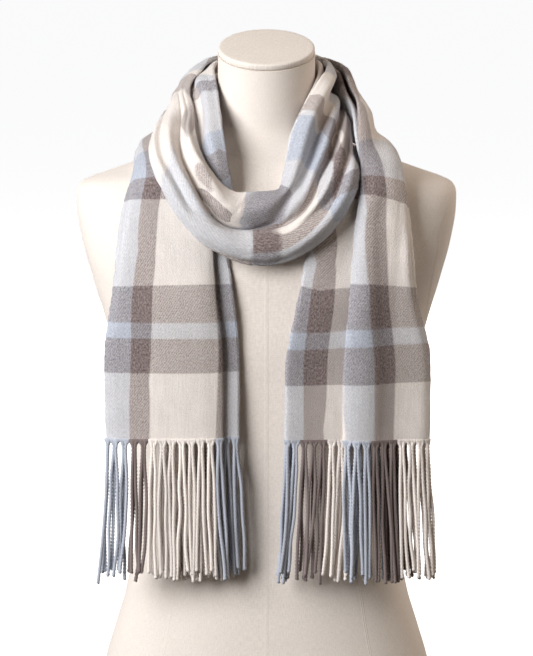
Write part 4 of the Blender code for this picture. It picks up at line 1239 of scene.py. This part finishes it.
def cloth_mesh(name, middle, normals, material, maps):
    """A sheet of cloth with two faces and rounded selvedges, as one closed body."""
    rows, columns = middle.shape[:2]
    half = CLOTH_THICKNESS / 2
    outer = middle + normals * half
    inner = (middle - normals * half)[:, ::-1]
    edges = []
    for end, beside in ((-1, -2), (0, 1)):
        beyond = unit(middle[:, end] - middle[:, beside])
        edges.append((middle[:, end] + beyond * half * 0.8)[:, None])
    rings = np.concatenate([outer, edges[0], inner, edges[1]], axis=1)
    ring = rings.shape[1]
    faces = []
    for r in range(rows - 1):
        for c in range(ring):
            d = (c + 1) % ring
            faces.append((r * ring + c, r * ring + d, (r + 1) * ring + d, (r + 1) * ring + c))
    for r, turned in ((0, True), (rows - 1, False)):
        for c in range(-1, columns):
            a, b = c % ring, (c + 1) % ring
            e, f = (2 * columns - c) % ring, (2 * columns - c - 1) % ring
            face = [r * ring + k for k in dict.fromkeys((a, b, f, e))]
            faces.append(tuple(reversed(face)) if turned else tuple(face))
    cloth = solid(name, rings.reshape(-1, 3), faces, material)
    mesh = cloth.data
    ends = set(range(ring)) | set(range((rows - 1) * ring, rows * ring))
    for edge in mesh.edges:
        if edge.vertices[0] in ends and edge.vertices[1] in ends:
            edge.use_edge_sharp = True
    for key, flat in maps.items():
        both = np.concatenate([flat, flat[:, -1:], flat[:, ::-1], flat[:, :1]], axis=1)
        paint_map(cloth, key, both.reshape(-1, 2))
    return cloth


class SCARF_OT_make_cloth(bpy.types.Operator):
    """Wind the plaid cloth round the form, in three stretches of one ribbon"""

    bl_idname = "scarf.make_cloth"
    bl_label = "Plaid cloth"

    def execute(self, context):
        wool = plaid_look()
        form_tree = tree_of(bpy.data.objects["torso_linen"])
        ribbon = Ribbon()
        ribbon.lay(form_tree)
        places = ribbon.columns(np.linspace(0, ribbon.knots[-1], 200), CLOTH_COLUMNS, 1.6)
        edges = [ribbon.at[piece.start] for piece in PIECES] + [ribbon.knots[-1]]
        rows = [np.linspace(a, b, CLOTH_ROWS) for a, b in zip(edges, edges[1:])]
        along = np.concatenate([rows[0]] + [r[1:] for r in rows[1:]])
        middle = ribbon.surface(along, places)
        gap = FORM_CLEARANCE + CLOTH_THICKNESS / 2
        middle = clear_of_form(middle, form_tree, gap)
        middle = drape(middle, surface_normals(middle), along, places)
        middle = clear_of_form(middle, form_tree, gap - 0.8)
        normals = surface_normals(middle)
        plaid = plaid_places(along, places)
        threads = np.stack(np.meshgrid(along, places, indexing="ij")[::-1], axis=-1) * MM
        for number, piece in enumerate(PIECES):
            first = number * (CLOTH_ROWS - 1)
            part = slice(first, first + CLOTH_ROWS)
            cloth = cloth_mesh(
                piece.name, middle[part], normals[part], wool,
                {"plaid": plaid[part], "cloth": threads[part]},
            )
            declare(cloth, "plaid_wool", *piece.nodes)
        return {"FINISHED"}


# ---- the fringe -------------------------------------------------------------------------
CORDS = 3
PLY_SIDES = 6
PLY_STEP = 2.2
TWIST_LENGTH = 8.5
GATHER = 6.0
SPREAD = 42.0
# How far apart the cords of a group are at the hem, as a share of its width, and what is
# added to it lower down.
CORD_APART = 0.09
CORD_SPREAD = 0.26
CORD_LENGTH = 0.955
CORD_UNEVEN = 0.045
PLY_OFFSET = 0.40
PLY_RADIUS = 0.64
FRINGE_SEEDS = {"left": 11, "right": 23}
FRINGE_MIDDLE = {"left": -110, "right": 106}
# The warp thread that each cord under the left hem's fold takes its colour from.
UNDER_PLACE = -18.0
UNDER_THREADS = ((-18, 168), (-2, 196), (0, 200), (112, 236), (113, 268), (150, 298))


def ply_tube(points, faces, path, radius, flatness):
    """Adds one ply: a tube along a path, widened across at its root."""
    ahead = unit(np.gradient(path, axis=0))
    side = unit(np.cross(ahead, np.array([0.0, -1.0, 0.0])))
    front = np.cross(side, ahead)
    first = len(points)
    for i in range(len(path)):
        for k in range(PLY_SIDES):
            angle = 2 * math.pi * k / PLY_SIDES
            points.append(
                path[i]
                + side[i] * radius[i] * flatness[i] * math.cos(angle)
                + front[i] * radius[i] * math.sin(angle)
            )
    for i in range(len(path) - 1):
        for k in range(PLY_SIDES):
            a, b = first + i * PLY_SIDES + k, first + i * PLY_SIDES + (k + 1) % PLY_SIDES
            faces.append((a, b, b + PLY_SIDES, a + PLY_SIDES))
    faces.append(tuple(first + k for k in reversed(range(PLY_SIDES))))
    last = first + (len(path) - 1) * PLY_SIDES
    faces.append(tuple(last + k for k in range(PLY_SIDES)))


def hem_points(ribbon, station, places):
    """Points of the cloth's middle surface at a hem."""
    along = np.array([ribbon.at[station]])
    return ribbon.surface(along, places)[0]


class SCARF_OT_make_fringe(bpy.types.Operator):
    """Twist the warp ends at both hems into cords"""

    bl_idname = "scarf.make_fringe"
    bl_label = "Fringe"

    def execute(self, context):
        scarf = context.scene.scarf_settings
        wool = fringe_look()
        ribbon = Ribbon()
        ribbon.lay(tree_of(bpy.data.objects["torso_linen"]))
        for side, seed in FRINGE_SEEDS.items():
            draw = np.random.default_rng(seed)
            half = SCARF_WIDTH / 2
            width = SCARF_WIDTH / scarf.teeth
            points, faces, places = [], [], []
            length = scarf.fringe_length / MM
            radius = scarf.cord_radius / MM
            teeth = -half + width * (np.arange(scarf.teeth) + 0.5)
            threads = plaid_places(np.array([ribbon.at[side + "_hem"]]), teeth)[0, :, 0] / MM
            if side == "left":
                under = np.interp(teeth, *np.array(UNDER_THREADS).T)
                threads = np.where(teeth > UNDER_PLACE, under, threads)
            for at, thread in zip(teeth, threads):
                spots = at + width / (2 * CORDS) * (np.arange(2 * CORDS) - CORDS + 0.5)
                roots = hem_points(ribbon, side + "_hem", spots)
                centre = roots.mean(axis=0)
                run = unit(roots[-1] - roots[0])
                for cord in range(CORDS):
                    sign = cord - (CORDS - 1) / 2
                    cord_length = length * (CORD_LENGTH + CORD_UNEVEN * draw.uniform(-1, 1))
                    down = np.arange(0, cord_length, PLY_STEP)
                    share = down / length
                    gathered = 1 - np.exp(-((down / GATHER) ** 2))
                    apart = CORD_APART + CORD_SPREAD * (1 - np.exp(-((down / SPREAD) ** 2)))
                    sway = 9.0 * (centre[0] - FRINGE_MIDDLE[side]) / 75 + draw.normal() * 3.0
                    curl, curve, bend = draw.uniform(-2.6, 2.6), *draw.uniform(-0.7, 0.7, 2)
                    turns, small_turns = draw.uniform(3.0, 6.5), draw.uniform(11, 18)
                    phase = draw.uniform(0, 2 * math.pi)
                    deep = 2.1 * (1 - 2 * abs(sign)) + draw.uniform(-0.6, 0.6)
                    shade = draw.uniform(0, 1)
                    line = centre + run * (sign * width * apart)[:, None]
                    line[:, 2] -= down
                    line[:, 0] += sway * share**1.5 + curl * np.sin(turns * share + phase) * share**0.8
                    line[:, 0] += curve * np.sin(small_turns * share + phase) * np.minimum(1, 3 * share)
                    line[:, 1] += deep * gathered * np.minimum(1, down / 25)
                    line[:, 1] += (0.8 * np.sin(3.7 * share + phase) + bend) * share
                    for ply in (0, 1):
                        angle = 2 * math.pi * down / TWIST_LENGTH + math.pi * ply + phase
                        offset = PLY_OFFSET * radius
                        twist = np.stack(
                            [np.cos(angle) * offset, np.sin(angle) * offset, np.zeros_like(down)], 1
                        )
                        root = roots[2 * cord + ply] - line[0]
                        path = line + gathered[:, None] * twist + (1 - gathered)[:, None] * root
                        size = np.full(len(down), PLY_RADIUS * radius)
                        size += (1 - gathered) * 0.15
                        size[-2:] *= (1.12, 1.16)
                        flatness = 1 + 0.35 * (1 - gathered)
                        begin = len(points)
                        ply_tube(points, faces, path, size, flatness)
                        places.extend([(thread, shade / MM)] * (len(points) - begin))
            fringe = solid("fringe_cords_" + side, points, faces, wool)
            paint_map(fringe, "plaid", np.array(places) * MM)
            declare(fringe, "fringe_wool", "fringe_" + side)
        return {"FINISHED"}


# ---- the stage ------------------------------------------------------------------------
CAMERA_TARGET = (0, 0, 0.450)
CAMERA_DISTANCE = 3.2
CAMERA_ELEVATION = 8.0
LENS = 146.34

LIGHT_TARGET = (0, 0, 0.5)
Light = namedtuple("Light", "name place size colour")
LIGHTS = (
    Light("key", (-1.64, -1.58, 1.36), 1.7, (1.0, 1.0, 1.01)),
    Light("fill", (2.45, -1.00, 3.00), 2.5, (1.0, 0.88, 0.77)),
    Light("rim", (3.05, 1.65, 1.75), 2.5, (1.0, 0.88, 0.78)),
    Light("back", (-0.80, 3.50, 0.90), 2.5, (1.0, 0.98, 0.95)),
)


def aim(thing, target):
    way = Vector(target) - thing.location
    thing.rotation_mode = "QUATERNION"
    thing.rotation_quaternion = way.to_track_quat("-Z", "Y")


def soft_light(name, place, size, power, colour):
    lamp = bpy.data.lights.new(name, "AREA")
    lamp.shape = "DISK"
    lamp.size = size
    lamp.energy = power
    lamp.color = colour
    light = bpy.data.objects.new(name, lamp)
    bpy.context.scene.collection.objects.link(light)
    light.location = place
    aim(light, LIGHT_TARGET)


class SCARF_OT_make_stage(bpy.types.Operator):
    """Add the camera, the pale floor and the soft studio light"""

    bl_idname = "scarf.make_stage"
    bl_label = "Studio"

    def execute(self, context):
        stage = context.scene.stage_settings
        data = bpy.data.cameras.new("camera")
        camera = bpy.data.objects.new("camera", data)
        context.scene.collection.objects.link(camera)
        rise = math.radians(CAMERA_ELEVATION)
        back = Vector((0, -math.cos(rise), math.sin(rise)))
        camera.location = Vector(CAMERA_TARGET) + back * CAMERA_DISTANCE
        aim(camera, CAMERA_TARGET)
        data.lens = LENS
        data.sensor_width = 36
        data.clip_end = 200
        context.scene.camera = camera
        deselect()
        bpy.ops.mesh.primitive_circle_add(vertices=96, radius=100, fill_type="NGON")
        floor = context.object
        floor.name = floor.data.name = "studio_floor"
        floor.data.materials.append(floor_look())
        floor.visible_diffuse = False
        world = bpy.data.worlds.new("studio")
        world.use_nodes = True
        backdrop = world.node_tree.nodes["Background"]
        backdrop.inputs["Color"].default_value = (*stage.sky_colour, 1)
        backdrop.inputs["Strength"].default_value = stage.sky
        context.scene.world = world
        for light in LIGHTS:
            power = getattr(stage, light.name + "_power")
            soft_light(light.name + "_light", light.place, light.size, power, light.colour)
        context.scene.view_settings.view_transform = "Standard"
        return {"FINISHED"}


class SCARF_PT_panel(bpy.types.Panel):
    """Lists the pieces and their settings"""

    bl_label = "Plaid scarf"
    bl_idname = "SCARF_PT_panel"
    bl_space_type = "VIEW_3D"
    bl_region_type = "UI"
    bl_category = "Scarf"

    def draw(self, context):
        for settings in ("scarf_settings", "form_settings", "stage_settings"):
            box = self.layout.box()
            group = getattr(context.scene, settings)
            for name in group.__annotations__:
                box.prop(group, name)
        for maker in MAKERS:
            self.layout.operator(maker.bl_idname)


MAKERS = (
    SCARF_OT_make_stage,
    SCARF_OT_make_torso,
    SCARF_OT_make_neck_cap,
    SCARF_OT_make_seams,
    SCARF_OT_make_cloth,
    SCARF_OT_make_fringe,
)
SETTINGS = {
    "scarf_settings": ScarfSettings,
    "form_settings": FormSettings,
    "stage_settings": StageSettings,
}
CLASSES = (*SETTINGS.values(), *MAKERS, SCARF_PT_panel)


def register():
    for each in CLASSES:
        bpy.utils.register_class(each)
    for name, group in SETTINGS.items():
        setattr(bpy.types.Scene, name, bpy.props.PointerProperty(type=group))


def unregister():
    for name in SETTINGS:
        delattr(bpy.types.Scene, name)
    for each in reversed(CLASSES):
        bpy.utils.unregister_class(each)


def main():
    register()
    for maker in MAKERS:
        family, name = maker.bl_idname.split(".")
        getattr(getattr(bpy.ops, family), name)()


if __name__ == "__main__":
    main()
